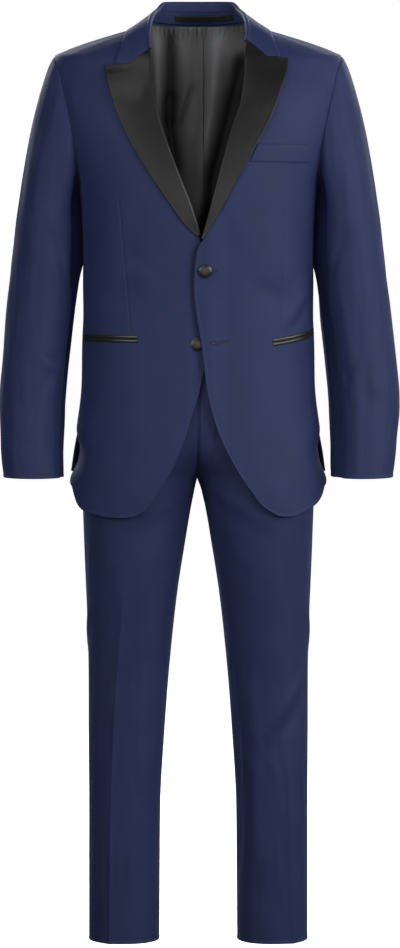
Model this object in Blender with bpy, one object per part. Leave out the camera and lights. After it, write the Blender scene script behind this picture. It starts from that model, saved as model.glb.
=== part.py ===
"""Tuxedo: a one-button-fastened jacket with peaked satin lapels, and its trousers.

Both garments keep the hollow shape they have when worn, with nobody in them. +Z is up, the front
faces -Y and the wearer's left is +X. The origin is the middle of the neck's base, at the height of
the shoulder line's top, where the shoulders carry the jacket. Sizes are in millimetres and MM turns
them into Blender's metres.
"""
import math

import bpy
import numpy as np

MM = 0.001

# Cloth
CLOTH = 1.3          # wall of the navy wool
SATIN = 1.6          # wall of a satin-faced piece
LINING = 1.0         # wall of the lining
SEAM = 0.18          # each piece stops this far short of its seam line
LIE = 0.7            # air under a small piece that lies on a panel
LAPEL_LIE = 1.2      # air under a lapel and under the collar's leaf
ARC = 130.0          # millimetres round the body for one radian, to measure along the cloth

# Jacket
ARMHOLE_TOP = -48.0
ARMHOLE_BOTTOM = -243.0
ARMHOLE_FRONT = 62.0     # reach of the armhole in front of the shoulder point
ARMHOLE_BACK = 66.0
ARMHOLE_FULLNESS = 0.15  # how much fuller the armhole is below its middle
ARM_STEPS = 24           # seam points round the armhole
SIDE_STEP = 8            # the side body starts this many steps from the armhole's top
NECK_POINT_Z = 5.0       # where the shoulder seam meets the collar
LAP_LIFT = 4.4           # the left front rides this far over the right one
LAP_FLAT = 10.0          # it is fully raised up to here, left of the middle
LAP_FADE = 40.0
LAP_TOP = -270.0
LAP_TOP_FADE = 60.0
VENT_TOP = -636.0
VENT_PULL = 13.0         # the side body hangs this far inside the back's flap
VENT_FLARE = 1.5
ROLL_RADIUS = 2.4        # of the lapel's fold
ROLL_DROP = 0.5
ROLL_INSET = 3.8         # the front's cloth stops this far inside the fold
ROLL_UNDER = 8.0         # the satin goes this far round behind the front

# Sleeve
BICEPS_Z = -300.0
CUFF_Z = -697.5
SLEEVE_OFFSET = 0.6

# Trousers
WAIST_Z = -462.0
BAND_HEIGHT = 38.0
CROTCH_Z = -695.0
HEM_Z = -1425.0
CREASE_HEIGHT = 4.0
CREASE_WIDTH = 9.0


def table(columns, rows):
    """A small table: its columns by name, sorted by the first one."""
    rows = np.array(sorted(rows), dtype=float)
    return {name: rows[:, i] for i, name in enumerate(columns.split())}


# Level sections of the jacket: height, half width, depth before and behind the side line, and how
# square the section is (2 is an ellipse). Above the armhole the half width is the shoulder line.
TORSO = table("z width front back square", [
    (24.0, 40.0, 40.0, 66.0, 2.0),
    (5.0, 72.0, 52.0, 81.0, 2.0),
    (-6.0, 101.5, 60.0, 91.0, 2.0),
    (-17.0, 138.5, 68.0, 98.0, 2.0),
    (-30.0, 179.5, 77.0, 104.0, 2.0),
    (-42.0, 210.5, 84.0, 109.0, 2.0),
    (-48.0, 221.5, 88.0, 112.0, 2.05),
    (-70.0, 227.0, 98.0, 117.0, 2.1),
    (-93.0, 228.0, 107.0, 122.0, 2.2),
    (-131.0, 222.0, 117.0, 128.0, 2.3),
    (-192.0, 203.0, 126.0, 132.0, 2.4),
    (-243.0, 186.0, 129.0, 131.0, 2.4),
    (-300.0, 180.0, 127.0, 124.0, 2.4),
    (-375.0, 178.3, 122.0, 112.0, 2.4),
    (-425.0, 178.4, 120.0, 108.0, 2.4),
    (-500.0, 180.2, 121.0, 112.0, 2.4),
    (-555.0, 181.8, 123.0, 119.0, 2.4),
    (-612.0, 187.4, 125.0, 126.0, 2.4),
    (-650.0, 193.0, 126.5, 129.0, 2.4),
    (-700.0, 199.5, 127.5, 130.0, 2.4),
    (-760.0, 203.0, 128.0, 130.0, 2.4),
])

# Front edges, from the foot of the cutaway up, past the buttons and up the lapel's roll line:
# distance from the middle towards the piece's own side, and height.
LEFT_EDGE = [
    (85, -718), (66, -691), (32, -625), (14, -561), (6, -496), (-6.5, -400), (-2, -344), (6, -323),
    (28, -242), (49, -163), (65, -113), (70, -71), (72, -24)]
RIGHT_EDGE = [
    (66, -723), (48, -695), (26, -648), (11, -602), (-1.7, -562), (-12, -500), (-13, -390),
    (-6, -330), (6.7, -286), (34, -215), (58, -146), (70, -92), (73, -37)]
# Heights of the front panels' rows along these edges.
EDGE_LEVELS = [-686, -642, -590, -535, -480, -428, -384, -348, -320, -294, -265, -234, -202, -170,
               -138, -108, -80, -52]
# Hem of each front, from the foot of its front edge round to the side body's seam.
LEFT_HEM = [(85, -718), (98, -735), (113, -746), (131, -753.5), (145, -753.5), (159, -749),
            (176, -741), (187, -732), (193, -721), (196.5, -708)]
RIGHT_HEM = [(66, -723), (77, -738), (92, -749), (104, -753.5), (122, -755), (140, -754.5),
             (160, -751), (178, -746), (187, -737), (193, -721), (196.5, -708)]

# The two long seams beside the side body, as depths before (-) and behind (+) the side line.
SIDE_SEAMS = table("z front_seam back_seam", [
    (-194.0, -57.7, 61.5),
    (-300.0, -42.0, 50.0),
    (-480.0, -27.0, 32.0),
    (-636.0, -25.0, 25.0),
    (-708.0, -25.0, 25.0),
])
SIDE_LEVELS = [-235, -280, -328, -378, -430, -482, -534, -586, -636, -680]
FRONT_SEAM_HEM = -708.0
BACK_SEAM_HEM = -692.0
CENTRE_BACK_HEM = -706.0

# Collar stations from the centre back to the gorge: where the neck seam, the fold and the leaf's
# edge lie (angles from the front centre), how far the fold leans to the front and how far it droops
# on the wearer's right.
COLLAR = table("station neck_angle neck_z fold_x fold_y fold_z leaf_angle leaf_z lean droop", [
    (0, 180, 1.0, 0, 74, 37, 180, -10.0, 0, 0.0),
    (1, 158, 1.5, 30, 70, 37, 158, -10.5, 0, 0.0),
    (2, 135, 3.0, 50, 57, 35, 137, -10.5, 4, 0.0),
    (3, 110, 4.5, 62, 30, 28, 115, -6.5, 12, 0.0),
    (4, 90, 5.0, 69, -4, 18, 90, -4.5, 25, 0.0),
    (5, 62, -5.0, 73, -39, 3, 48, -21.0, 45, 0.2),
    (6, 40, -18.0, 74, -57, -11, 37, -36.0, 65, 0.5),
    (7, 27.4, -26.0, 72, -69, -25, 33.2, -50.5, 80, 1.0),
])
GORGE_END = 7
DROOP = 12.0             # the wearer's right gorge sits this much lower
FOLD_AHEAD = 0.65        # a fold that sits lower also comes forward by this share
FOLD_RADIUS = 3.0
FALL_INSIDE = 0.42       # share of the height inside the neck that the fall covers
FALL_LEAST = 3.5
LEAF_BULGE = 1.2

# Lapels: the peak's tip and the outer edge down to the tip of the opening.
LEFT_LAPEL = [(137, -54), (134, -72), (127, -92), (110, -140), (84, -189), (58, -238), (32, -286),
              (14, -317), (8, -327)]
RIGHT_LAPEL = [(142, -65), (138, -86), (123, -128), (102, -177), (74, -226), (42, -274), (18, -307),
               (7, -318), (2, -322)]
LEFT_NOTCH = (106.0, -50.0)
RIGHT_NOTCH = (103.5, -60.5)
LEFT_GORGE = (73.0, -24.5)
RIGHT_GORGE = (73.5, -37.0)
GORGE_GAP = 1.3          # from the collar's end down to the lapel's top edge
ROLL_GAP = 0.9           # a little more at the fold

# Sleeve sections: height, middle, half width, half depth, and what the left one has more.
SLEEVE = table("z x y width depth extra", [
    (-300.0, 231.3, 2.0, 50.7, 68.0, 0.0),
    (-335.0, 233.2, 3.0, 52.6, 67.0, 0.0),
    (-369.0, 236.0, 3.0, 54.5, 66.0, 0.0),
    (-443.0, 245.0, 0.0, 53.0, 62.0, 0.5),
    (-518.0, 252.0, -6.0, 51.5, 57.0, 2.0),
    (-593.0, 257.5, -15.0, 50.5, 51.0, 2.2),
    (-649.0, 257.8, -24.0, 48.5, 46.0, 0.5),
    (-697.5, 255.0, -32.0, 46.5, 43.0, 0.0),
])
SLEEVE_LEVELS = [-335, -369, -410, -450, -488, -525, -560, -593, -630, -665]

# Trouser sections: height, middle of the leg, half width, depth before and behind.
TROUSERS = table("z x width front back", [
    (-462.0, 0.0, 150.0, 97.0, 94.0),
    (-500.0, 2.0, 158.0, 103.0, 101.0),
    (-560.0, 16.0, 160.0, 110.0, 107.0),
    (-610.0, 40.0, 137.0, 113.0, 112.0),
    (-650.0, 62.0, 115.5, 114.0, 116.5),
    (-680.0, 81.0, 97.5, 112.0, 114.3),
    (-695.0, 90.0, 90.0, 111.0, 112.3),
    (-705.0, 91.5, 88.8, 110.0, 112.0),
    (-742.0, 95.0, 84.5, 106.0, 109.0),
    (-799.0, 98.9, 78.7, 97.0, 103.0),
    (-874.0, 103.3, 71.3, 86.0, 92.0),
    (-949.0, 106.2, 65.5, 75.0, 80.0),
    (-1024.0, 109.3, 61.7, 67.0, 70.0),
    (-1100.0, 112.1, 59.0, 62.0, 66.0),
    (-1214.0, 115.0, 55.6, 58.0, 62.0),
    (-1425.0, 116.1, 54.9, 57.0, 59.0),
])
TROUSER_SQUARE = 2.2
TROUSER_LEVELS = [-535, -570, -605, -640, -668, -686, -695, -712, -742, -775, -815, -870, -935,
                  -1005, -1080, -1160, -1250, -1340]
# Where the pressed creases run, in degrees from the leg's front.
CREASES = table("z left right", [
    (-500.0, 4.0, 4.0),
    (-695.0, 6.0, 4.0),
    (-900.0, 22.0, 10.0),
    (-1024.0, 30.0, 20.0),
    (-1425.0, 33.0, 24.0),
])

# Large folds: a soft ridge (+) or trough (-) along a line from one place on the cloth to another.
# Angles are degrees round the piece, heights and sizes millimetres.
TORSO_FOLDS = table("angle_a z_a angle_b z_b height width", [
    (58, -300, 76, -440, -2.4, 15),
    (40, -330, 62, -470, 1.6, 18),
    (30, -400, 60, -450, -1.6, 14),
    (150, -150, 120, -330, -2.0, 22),
    (170, -360, 120, -400, 2.5, 20),
    (172, -420, 118, -455, -2.5, 16),
])
SLEEVE_FOLDS = table("angle_a z_a angle_b z_b height width", [
    (60, -512, 140, -548, -3.5, 11),
    (20, -620, 125, -540, -4.0, 13),
    (70, -585, 150, -600, -2.5, 12),
    (100, -330, 150, -420, -3.0, 14),
    (-60, -480, -130, -520, -3.0, 13),
    (-60, -560, -140, -590, -3.0, 14),
])
TROUSER_FOLDS = table("angle_a z_a angle_b z_b height width", [
    (-75, -715, 10, -790, -3.0, 15),
    (-80, -760, -20, -850, -2.5, 16),
    (60, -900, 100, -960, 2.0, 16),
    (165, -720, 260, -800, -3.5, 18),
    (150, -930, 230, -985, -2.5, 16),
])
LINING_FOLDS = table("x_a z_a x_b z_b height width", [
    (-42, -5, -44, -230, 3.0, 7),
    (-30, -5, -27, -200, -2.5, 6),
    (20, -10, 18, -260, 2.5, 8),
    (38, -10, 34, -240, -2.5, 8),
    (62, -20, 55, -300, 2.0, 10),
    (-68, -20, -62, -300, -2.0, 10),
])
LINING_SEAM_X = 7.5
LINING_GAP = 1.0
LINING_DROP = 1.2        # its top edge lies this far under the neck seam

# Small things on the front
BUTTON_RADIUS = 10.8
UPPER_BUTTON = (10.7, -376.0)
LOWER_BUTTON = (-2.6, -488.0)
WELT = [(90.5, -183.5), (171.0, -185.0), (79.5, -209.5), (171.0, -212.0)]
LEFT_POCKET = [(114.8, -486.0), (179.3, -471.0)]
RIGHT_POCKET = [(93.5, -480.5), (178.6, -480.5)]
JET_HEIGHT = 5.2
JET_SLIT = 0.8
JET_EDGE = 1.1           # its thickness at both edges
LOOP = (-1.25, 2.2)      # collar stations between which the hanger strip lies
LOOP_WALL = 1.0
FLY_EDGE = 4.3
FLY_WIDTH = 32.0
FLY_BOTTOM = -672.0

# Colours
NAVY = (0.014, 0.021, 0.075)
NAVY_TROUSERS = (0.011, 0.016, 0.058)
BLACK_SATIN = (0.012, 0.012, 0.014)
BLACK_LINING = (0.016, 0.016, 0.018)


# ---------------------------------------------------------------- curves and tables

def slopes(xs, ys):
    """Slopes of a cubic that never overshoots the given points."""
    step = np.diff(xs)
    rise = np.diff(ys) / step
    out = np.empty(len(xs))
    out[0], out[-1] = rise[0], rise[-1]
    for i in range(1, len(xs) - 1):
        if rise[i - 1] * rise[i] <= 0:
            out[i] = 0.0
            continue
        before = 2 * step[i] + step[i - 1]
        after = step[i] + 2 * step[i - 1]
        out[i] = (before + after) / (before / rise[i - 1] + after / rise[i])
    return out


def interpolate(at, xs, ys):
    """Smooth value at each place, through the points (xs, ys)."""
    at = np.clip(np.asarray(at, dtype=float), xs[0], xs[-1])
    tangent = slopes(xs, ys)
    i = np.clip(np.searchsorted(xs, at, side="right") - 1, 0, len(xs) - 2)
    width = xs[i + 1] - xs[i]
    s = (at - xs[i]) / width
    return ((1 + 2 * s) * (1 - s) ** 2 * ys[i] + s * (1 - s) ** 2 * width * tangent[i]
            + s * s * (3 - 2 * s) * ys[i + 1] + s * s * (s - 1) * width * tangent[i + 1])


def read(tab, column, at):
    """A table's column at any place along its first column."""
    key = next(iter(tab))
    return interpolate(at, tab[key], tab[column])


def lengths(points):
    """Length along a list of points, from 0 to 1."""
    points = np.asarray(points, dtype=float)
    steps = np.linalg.norm(np.diff(points, axis=0), axis=1)
    run = np.concatenate([[0.0], np.cumsum(steps)])
    return run / run[-1]


def along(points, fractions):
    """Points at fractions of the length of a smooth curve through the given points."""
    points = np.asarray(points, dtype=float)
    knots = lengths(points)
    fine = np.linspace(0, 1, 400)
    curve = np.stack([interpolate(fine, knots, c) for c in points.T], axis=1)
    run = lengths(curve)
    return np.stack([np.interp(fractions, run, c) for c in curve.T], axis=1)


def ease(x):
    """Soft step from 0 to 1."""
    x = np.clip(x, 0, 1)
    return x * x * (3 - 2 * x)


def unit(vectors):
    """Vectors scaled to length 1."""
    size = np.linalg.norm(vectors, axis=-1, keepdims=True)
    return vectors / np.maximum(size, 1e-12)


def folds(tab, across, z):
    """Height of the cloth's folds; `across` is measured in millimetres along the cloth."""
    first = next(iter(tab))
    second = [name for name in tab if name.endswith("_b")][0]
    scale = ARC * math.pi / 180 if first.startswith("angle") else 1.0
    total = np.zeros(np.broadcast(across, z).shape)
    for i in range(len(tab["height"])):
        ax, az = tab[first][i] * scale, tab["z_a"][i]
        bx, bz = tab[second][i] * scale, tab["z_b"][i]
        dx, dz = bx - ax, bz - az
        size = math.hypot(dx, dz)
        s = ((across - ax) * dx + (z - az) * dz) / size ** 2
        off = ((across - ax) * dz - (z - az) * dx) / size
        body = np.exp(-(off / tab["width"][i]) ** 2)
        ends = ease(s * 2.2 + 0.6) * ease((1 - s) * 2.2 + 0.6)
        total = total + tab["height"][i] * body * ends
    return total


# ---------------------------------------------------------------- the body of the jacket

def torso(t, z):
    """Outer face of the jacket's body: t runs from the front centre (0) round to the back (pi)."""
    t, z = np.broadcast_arrays(np.asarray(t, dtype=float), np.asarray(z, dtype=float))
    n = read(TORSO, "square", z)
    s, c = np.sin(t), np.cos(t)
    radius = (np.abs(s) ** n + np.abs(c) ** n) ** (-1 / n)
    depth = np.where(c > 0, read(TORSO, "front", z), read(TORSO, "back", z))
    width = read(TORSO, "width", z)
    x = width * s * radius
    y = -depth * c * radius
    out = unit(np.stack([s / width, -c / depth], axis=-1))
    rise = folds(TORSO_FOLDS, np.abs(t) * ARC, z)
    return np.stack([x + out[..., 0] * rise, y + out[..., 1] * rise, z], axis=-1)


def angle_at_x(x, z):
    """Angle of the place on the front that lies at x."""
    n = read(TORSO, "square", z)
    q = np.clip(np.asarray(x, dtype=float) / read(TORSO, "width", z), -0.9999, 0.9999)
    return np.arctan2(q, (1 - np.abs(q) ** n) ** (1 / n))


def angle_at_y(y, z):
    """Angle of the place on the side that lies at depth y."""
    n = read(TORSO, "square", z)
    y = np.asarray(y, dtype=float)
    depth = np.where(y < 0, read(TORSO, "front", z), read(TORSO, "back", z))
    q = y / depth
    return np.arctan2((1 - np.abs(q) ** n) ** (1 / n), -q)


def vented(t, z, front):
    """The body below the vents: the front hangs inside the back's flap."""
    base = torso(t, z)
    down = ease((VENT_TOP - np.asarray(z, dtype=float)) / 45.0)
    if front:
        push = -VENT_PULL * down * ease((base[..., 1] + 40.0) / 45.0)
    else:
        push = VENT_FLARE * down * ease((70.0 - base[..., 1]) / 45.0)
    base[..., 0] += push
    return base


def front_face(t, z):
    """Body that the fronts and side bodies follow."""
    return vented(t, z, True)


def back_face(t, z):
    """Body that the backs follow."""
    return vented(t, z, False)


def lapped_face(t, z):
    """Body of the left front, which rides over the right one at the middle."""
    base = front_face(t, z)
    near = 1 - ease((base[..., 0] - LAP_FLAT) / LAP_FADE)
    low = ease((LAP_TOP - np.asarray(z, dtype=float)) / LAP_TOP_FADE)
    base[..., 1] -= LAP_LIFT * near * low
    return base


def normal(face, t, z):
    """Outward direction of a face."""
    dt, dz = 0.002, 0.2
    round_ = face(t + dt, z) - face(t - dt, z)
    up = face(t, z + dz) - face(t, z - dz)
    return unit(np.cross(round_, up))


def lifted(face, t, z, height):
    """Points at a height over a face."""
    t, z = np.asarray(t, dtype=float), np.asarray(z, dtype=float)
    height = np.asarray(height, dtype=float)[..., None]
    return face(t, z) + normal(face, t, z) * height


def armhole(psi):
    """Angle and height of the armhole seam; psi is 0 at the shoulder and 90 degrees in front."""
    middle = (ARMHOLE_TOP + ARMHOLE_BOTTOM) / 2
    half = (ARMHOLE_TOP - ARMHOLE_BOTTOM) / 2
    z = middle + half * np.cos(psi)
    reach = np.where(np.sin(psi) > 0, ARMHOLE_FRONT, ARMHOLE_BACK)
    y = -reach * np.sin(psi) * (1 - ARMHOLE_FULLNESS * np.cos(psi))
    return np.stack([angle_at_y(y, z), z], axis=-1)


def arm_angles(first, last):
    """Seam points of the armhole, counted in steps from the shoulder towards the front."""
    return np.arange(first, last + 1) * 2 * math.pi / ARM_STEPS


# ---------------------------------------------------------------- grids and walls

def fill(left, right, bottom, top):
    """Grid of places between four edges; left and right run upwards, the others to the right."""
    left, right, bottom, top = (np.asarray(e, dtype=float) for e in (left, right, bottom, top))
    scale = np.array([ARC, 1.0])
    run_l, run_r = lengths(left * scale), lengths(right * scale)
    run_b, run_t = lengths(bottom * scale), lengths(top * scale)
    v_mid = (run_l + run_r) / 2
    u_mid = (run_b + run_t) / 2
    u = (1 - v_mid[:, None]) * run_b[None, :] + v_mid[:, None] * run_t[None, :]
    v = (1 - u_mid[None, :]) * run_l[:, None] + u_mid[None, :] * run_r[:, None]
    u, v = u[..., None], v[..., None]
    sides = (1 - u) * left[:, None] + u * right[:, None]
    ends = (1 - v) * bottom[None, :] + v * top[None, :]
    corners = ((1 - u) * (1 - v) * left[0] + u * (1 - v) * right[0]
               + (1 - u) * v * left[-1] + u * v * right[-1])
    return sides + ends - corners


def laid(face, places, edges, thickness=CLOTH, depth=0.0):
    """Outer and inner grids of cloth that follows a face, a small way inside its seams."""
    out = normal(face, places[..., 0], places[..., 1])
    outer = shrink(face(places[..., 0], places[..., 1]), edges) - out * depth
    return outer, outer - out * thickness


def shrink(grid, edges, amount=SEAM):
    """Pull the named edges of a grid of points in by a small amount."""
    grid = grid.copy()
    if "l" in edges:
        grid[:, 0] += unit(grid[:, 1] - grid[:, 0]) * amount
    if "r" in edges:
        grid[:, -1] += unit(grid[:, -2] - grid[:, -1]) * amount
    if "b" in edges:
        grid[0] += unit(grid[1] - grid[0]) * amount
    if "t" in edges:
        grid[-1] += unit(grid[-2] - grid[-1]) * amount
    return grid


def grid_normals(grid):
    """Normals of a grid of points; columns run to the right and rows upwards, seen from outside."""
    return unit(np.cross(np.gradient(grid, axis=1), np.gradient(grid, axis=0)))


def mirror(grid):
    """The same piece on the other side of the body."""
    return grid[:, ::-1] * np.array([-1.0, 1.0, 1.0])


def pair(name, mat, left, right=None):
    """A left piece and a right piece, each from its outer and inner grids seen on the left."""
    right = left if right is None else right
    wall(name + "_left", left[0], mat, left[1])
    wall(name + "_right", mirror(right[0]), mat, mirror(right[1]))


def material(name, colour, roughness, sheen=0.0):
    """A plain cloth material."""
    found = bpy.data.materials.get(name)
    if found:
        return found
    made = bpy.data.materials.new(name)
    made.use_nodes = True
    shader = made.node_tree.nodes["Principled BSDF"]
    shader.inputs["Base Color"].default_value = (*colour, 1.0)
    shader.inputs["Roughness"].default_value = roughness
    shader.inputs["Metallic"].default_value = 0.0
    shader.inputs["Sheen Weight"].default_value = sheen
    made.diffuse_color = (*colour, 1.0)
    return made


def add_object(name, points, faces, mat):
    """One named object from points in millimetres."""
    mesh = bpy.data.meshes.new(name)
    mesh.from_pydata([tuple(p) for p in np.asarray(points) * MM], [], faces)
    mesh.validate()
    mesh.shade_smooth()
    mesh.set_sharp_from_angle(angle=math.radians(50))
    mesh.materials.append(mat)
    made = bpy.data.objects.new(name, mesh)
    bpy.context.scene.collection.objects.link(made)
    return made


def wall(name, outer, mat, inner):
    """A piece of cloth: the wall between an outer grid and an inner one."""
    rows, columns = outer.shape[:2]
    points = np.concatenate([outer.reshape(-1, 3), inner.reshape(-1, 3)])
    count = rows * columns
    faces = []
    for j in range(rows - 1):
        for i in range(columns - 1):
            a = j * columns + i
            b, c, d = a + 1, a + columns + 1, a + columns
            if np.linalg.norm(points[a] - points[c]) <= np.linalg.norm(points[b] - points[d]):
                halves = [(a, b, c), (a, c, d)]
            else:
                halves = [(a, b, d), (b, c, d)]
            for p, q, r in halves:
                faces.append((p, q, r))
                faces.append((p + count, r + count, q + count))
    rim = ([i for i in range(columns)]
           + [j * columns + columns - 1 for j in range(1, rows)]
           + [(rows - 1) * columns + i for i in range(columns - 2, -1, -1)]
           + [j * columns for j in range(rows - 2, 0, -1)])
    for a, b in zip(rim, rim[1:] + rim[:1]):
        faces.append((b, a, a + count))
        faces.append((b, a + count, b + count))
    return add_object(name, points, faces, mat)


def shell(name, middle, thickness, mat):
    """A piece whose wall lies half on each side of a grid."""
    away = grid_normals(middle) * thickness / 2
    return wall(name, middle + away, mat, middle - away)


# ---------------------------------------------------------------- jacket panels

def shoulder_seam(count):
    """Places from the neck point out to the shoulder point."""
    z = np.linspace(NECK_POINT_Z, ARMHOLE_TOP, count + 1)
    return np.stack([np.full(count + 1, math.pi / 2), z], axis=1)


def neck_places(first, last, count, drop=0.0):
    """Places along the neck seam between two collar stations."""
    station = np.linspace(first, last, count + 1)
    angle = np.radians(read(COLLAR, "neck_angle", station))
    z = read(COLLAR, "neck_z", station) - drop * DROOP * read(COLLAR, "droop", station)
    return np.stack([angle, z], axis=1)


def side_seam(column, hem_z):
    """Places up a long seam, from the hem to the armhole."""
    z = np.array([hem_z] + SIDE_LEVELS[::-1], dtype=float)
    y = read(SIDE_SEAMS, column, z)
    return np.stack([angle_at_y(y, z), z], axis=1)


def edge_x(edge, z):
    """Distance from the middle at which an edge passes a height."""
    curve = along(edge, np.linspace(0, 1, 300))
    return np.interp(z, curve[:, 1], curve[:, 0])


def front_places(edge, hem, drop, tip_z, columns=12):
    """Grid of places of a front panel, its own side being positive."""
    arm = armhole(arm_angles(0, SIDE_STEP)[::-1])
    outer = np.concatenate([side_seam("front_seam", FRONT_SEAM_HEM), arm])
    rows = len(outer) - 1
    levels = np.array([edge[0][1]] + EDGE_LEVELS + [edge[-1][1]], dtype=float)
    x = edge_x(edge, levels) + ROLL_INSET * ease((levels - tip_z + 20.0) / 20.0)
    inner = np.stack([angle_at_x(x, levels), levels], axis=1)
    low = along(hem, np.linspace(0, 1, columns + 1))
    low = np.stack([angle_at_x(low[:, 0], low[:, 1]), low[:, 1]], axis=1)
    neck = neck_places(GORGE_END, 4, columns // 3, drop)
    high = np.concatenate([neck, shoulder_seam(columns - columns // 3)[1:]])
    inner[-1] = high[0]
    low[-1], high[-1] = outer[0], outer[-1]
    assert len(inner) == rows + 1
    return fill(inner, outer, low, high)


def make_fronts(navy):
    """The two front panels; the left one laps over the right one."""
    left = front_places(LEFT_EDGE, LEFT_HEM, 0.0, LEFT_LAPEL[-1][1])
    right = front_places(RIGHT_EDGE, RIGHT_HEM, 1.0, RIGHT_LAPEL[-1][1])
    pair("jacket_front", navy, laid(lapped_face, left, "rt"), laid(front_face, right, "rt"))


def make_sides(navy):
    """The two side bodies, under the arms."""
    front = np.concatenate([side_seam("front_seam", FRONT_SEAM_HEM),
                            armhole(arm_angles(SIDE_STEP, SIDE_STEP))])
    back = np.concatenate([side_seam("back_seam", BACK_SEAM_HEM),
                           armhole(arm_angles(ARM_STEPS - SIDE_STEP, ARM_STEPS - SIDE_STEP))])
    top = armhole(arm_angles(SIDE_STEP, ARM_STEPS - SIDE_STEP))
    columns = len(top) - 1
    angle = np.linspace(front[0, 0], back[0, 0], columns + 1)
    dip = np.linspace(0, 1, columns + 1) ** 0.7
    hem = np.stack([angle, FRONT_SEAM_HEM + (BACK_SEAM_HEM - FRONT_SEAM_HEM) * dip], axis=1)
    places = fill(front, back, hem, top)
    pair("jacket_side", navy, laid(front_face, places, "lrt"))


def back_places(columns=11):
    """Grid of places of a back panel, from the side seam to the centre back."""
    steps = arm_angles(ARM_STEPS - SIDE_STEP, ARM_STEPS)
    outer = np.concatenate([side_seam("back_seam", BACK_SEAM_HEM), armhole(steps)])
    neck = neck_places(4, 0, 5)
    seam = shoulder_seam(columns - 5)[::-1]
    high = np.concatenate([seam, neck[1:]])
    high[0] = outer[-1]
    z = CENTRE_BACK_HEM + (high[-1, 1] - CENTRE_BACK_HEM) * lengths(outer * np.array([ARC, 1.0]))
    centre = np.stack([np.full(len(outer), math.pi), z], axis=1)
    angle = np.linspace(outer[0, 0], math.pi, columns + 1)
    low_z = BACK_SEAM_HEM + (CENTRE_BACK_HEM - BACK_SEAM_HEM) * ease(np.linspace(0, 1, columns + 1))
    return fill(outer, centre, np.stack([angle, low_z], axis=1), high)


def make_backs(navy):
    """The two back panels with their flaps at the side vents."""
    places = back_places()
    pair("jacket_back", navy, laid(back_face, places, "lrt"))


# ---------------------------------------------------------------- sleeves

def sleeve_ring(psi, z, left):
    """Level section of a sleeve; psi is 0 on its outer side and 90 degrees in front."""
    extra = read(SLEEVE, "extra", z) * (1.0 if left else 0.0)
    x = read(SLEEVE, "x", z) + extra
    width = read(SLEEVE, "width", z) + extra
    depth = read(SLEEVE, "depth", z)
    signed = np.degrees(np.angle(np.exp(1j * psi)))
    rise = folds(SLEEVE_FOLDS, np.radians(signed) * ARC, z)
    inside = 1 - ease((-np.cos(psi) - 0.5) * 4)
    rise = rise * inside
    return np.stack([x + (width + rise) * np.cos(psi),
                     read(SLEEVE, "y", z) - (depth + rise) * np.sin(psi), z], axis=-1)


def sleeve_cap(psi, s, left):
    """Sleeve head between the armhole seam (s = 1) and the biceps (s = 0)."""
    place = armhole(psi)
    start = torso(place[..., 0], place[..., 1]) + np.array([SLEEVE_OFFSET, 0, 0])
    end = sleeve_ring(psi, np.full(psi.shape, BICEPS_Z), left)
    high = (1 + np.cos(psi)) / 2
    drop = start[..., 2] - end[..., 2]
    first = start + np.stack([21 * high ** 1.5 - 0.7, -9 * np.sin(psi),
                              -drop * (0.3 - 0.22 * high)], axis=-1)
    lower = 0.42 * drop
    second = end + np.stack([-lower * (0.045 + 0.085 * np.cos(psi)), 0 * psi, lower], axis=-1)
    v = (1 - s)[..., None]
    return ((1 - v) ** 3 * start + 3 * (1 - v) ** 2 * v * first
            + 3 * (1 - v) * v ** 2 * second + v ** 3 * end)


def sleeve_grids(left, cap_rows=6):
    """Outer and inner faces of a whole sleeve; columns run from its front seam round the outside."""
    psi = -arm_angles(-SIDE_STEP - 1, ARM_STEPS - SIDE_STEP + 1)
    levels = np.array([CUFF_Z] + SLEEVE_LEVELS[::-1], dtype=float)
    tube = sleeve_ring(psi[None, :] + 0 * levels[:, None], levels[:, None] + 0 * psi, left)
    s = np.linspace(0, 1, cap_rows + 1)
    cap = sleeve_cap(psi[None, :] + 0 * s[:, None], s[:, None] + 0 * psi, left)
    outer = np.concatenate([tube, cap])
    inner = outer - grid_normals(outer) * CLOTH
    return outer[:, 1:-1], inner[:, 1:-1]


def make_sleeves(navy):
    """An upper and an under sleeve on each side."""
    split = 2 * SIDE_STEP
    for name, part in (("sleeve_top", slice(0, split + 1)), ("sleeve_under", slice(split, None))):
        sides = []
        for left in (True, False):
            outer, inner = sleeve_grids(left)
            away = outer - inner
            trimmed = shrink(outer[:, part], "lr")
            sides.append((trimmed, trimmed - away[:, part]))
        pair(name, navy, *sides)


# ---------------------------------------------------------------- collar and lapels

def collar_station(station, side):
    """One cross-section of the collar: the middle of its fold, three directions and its leaf."""
    drop = DROOP * read(COLLAR, "droop", station) * (side < 0)
    fold = np.array([read(COLLAR, "fold_" + k, station) for k in "xyz"])
    ahead = np.array([read(COLLAR, "fold_" + k, station + 0.05) for k in "xyz"])
    behind = np.array([read(COLLAR, "fold_" + k, station - 0.05) for k in "xyz"])
    fold += np.array([0.0, -FOLD_AHEAD * drop, -drop])
    lean = math.radians(read(COLLAR, "lean", station))
    tip = unit(np.array([-math.sin(lean), -0.2 * math.cos(lean), math.cos(lean)]))
    path = unit(ahead - behind) if station > 0.01 else np.array([1.0, 0.0, 0.0])
    out = unit(np.cross(tip, path))
    if np.dot(out[:2], fold[:2]) < 0:
        out = -out
    return fold - tip * FOLD_RADIUS, tip, out, drop


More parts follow.
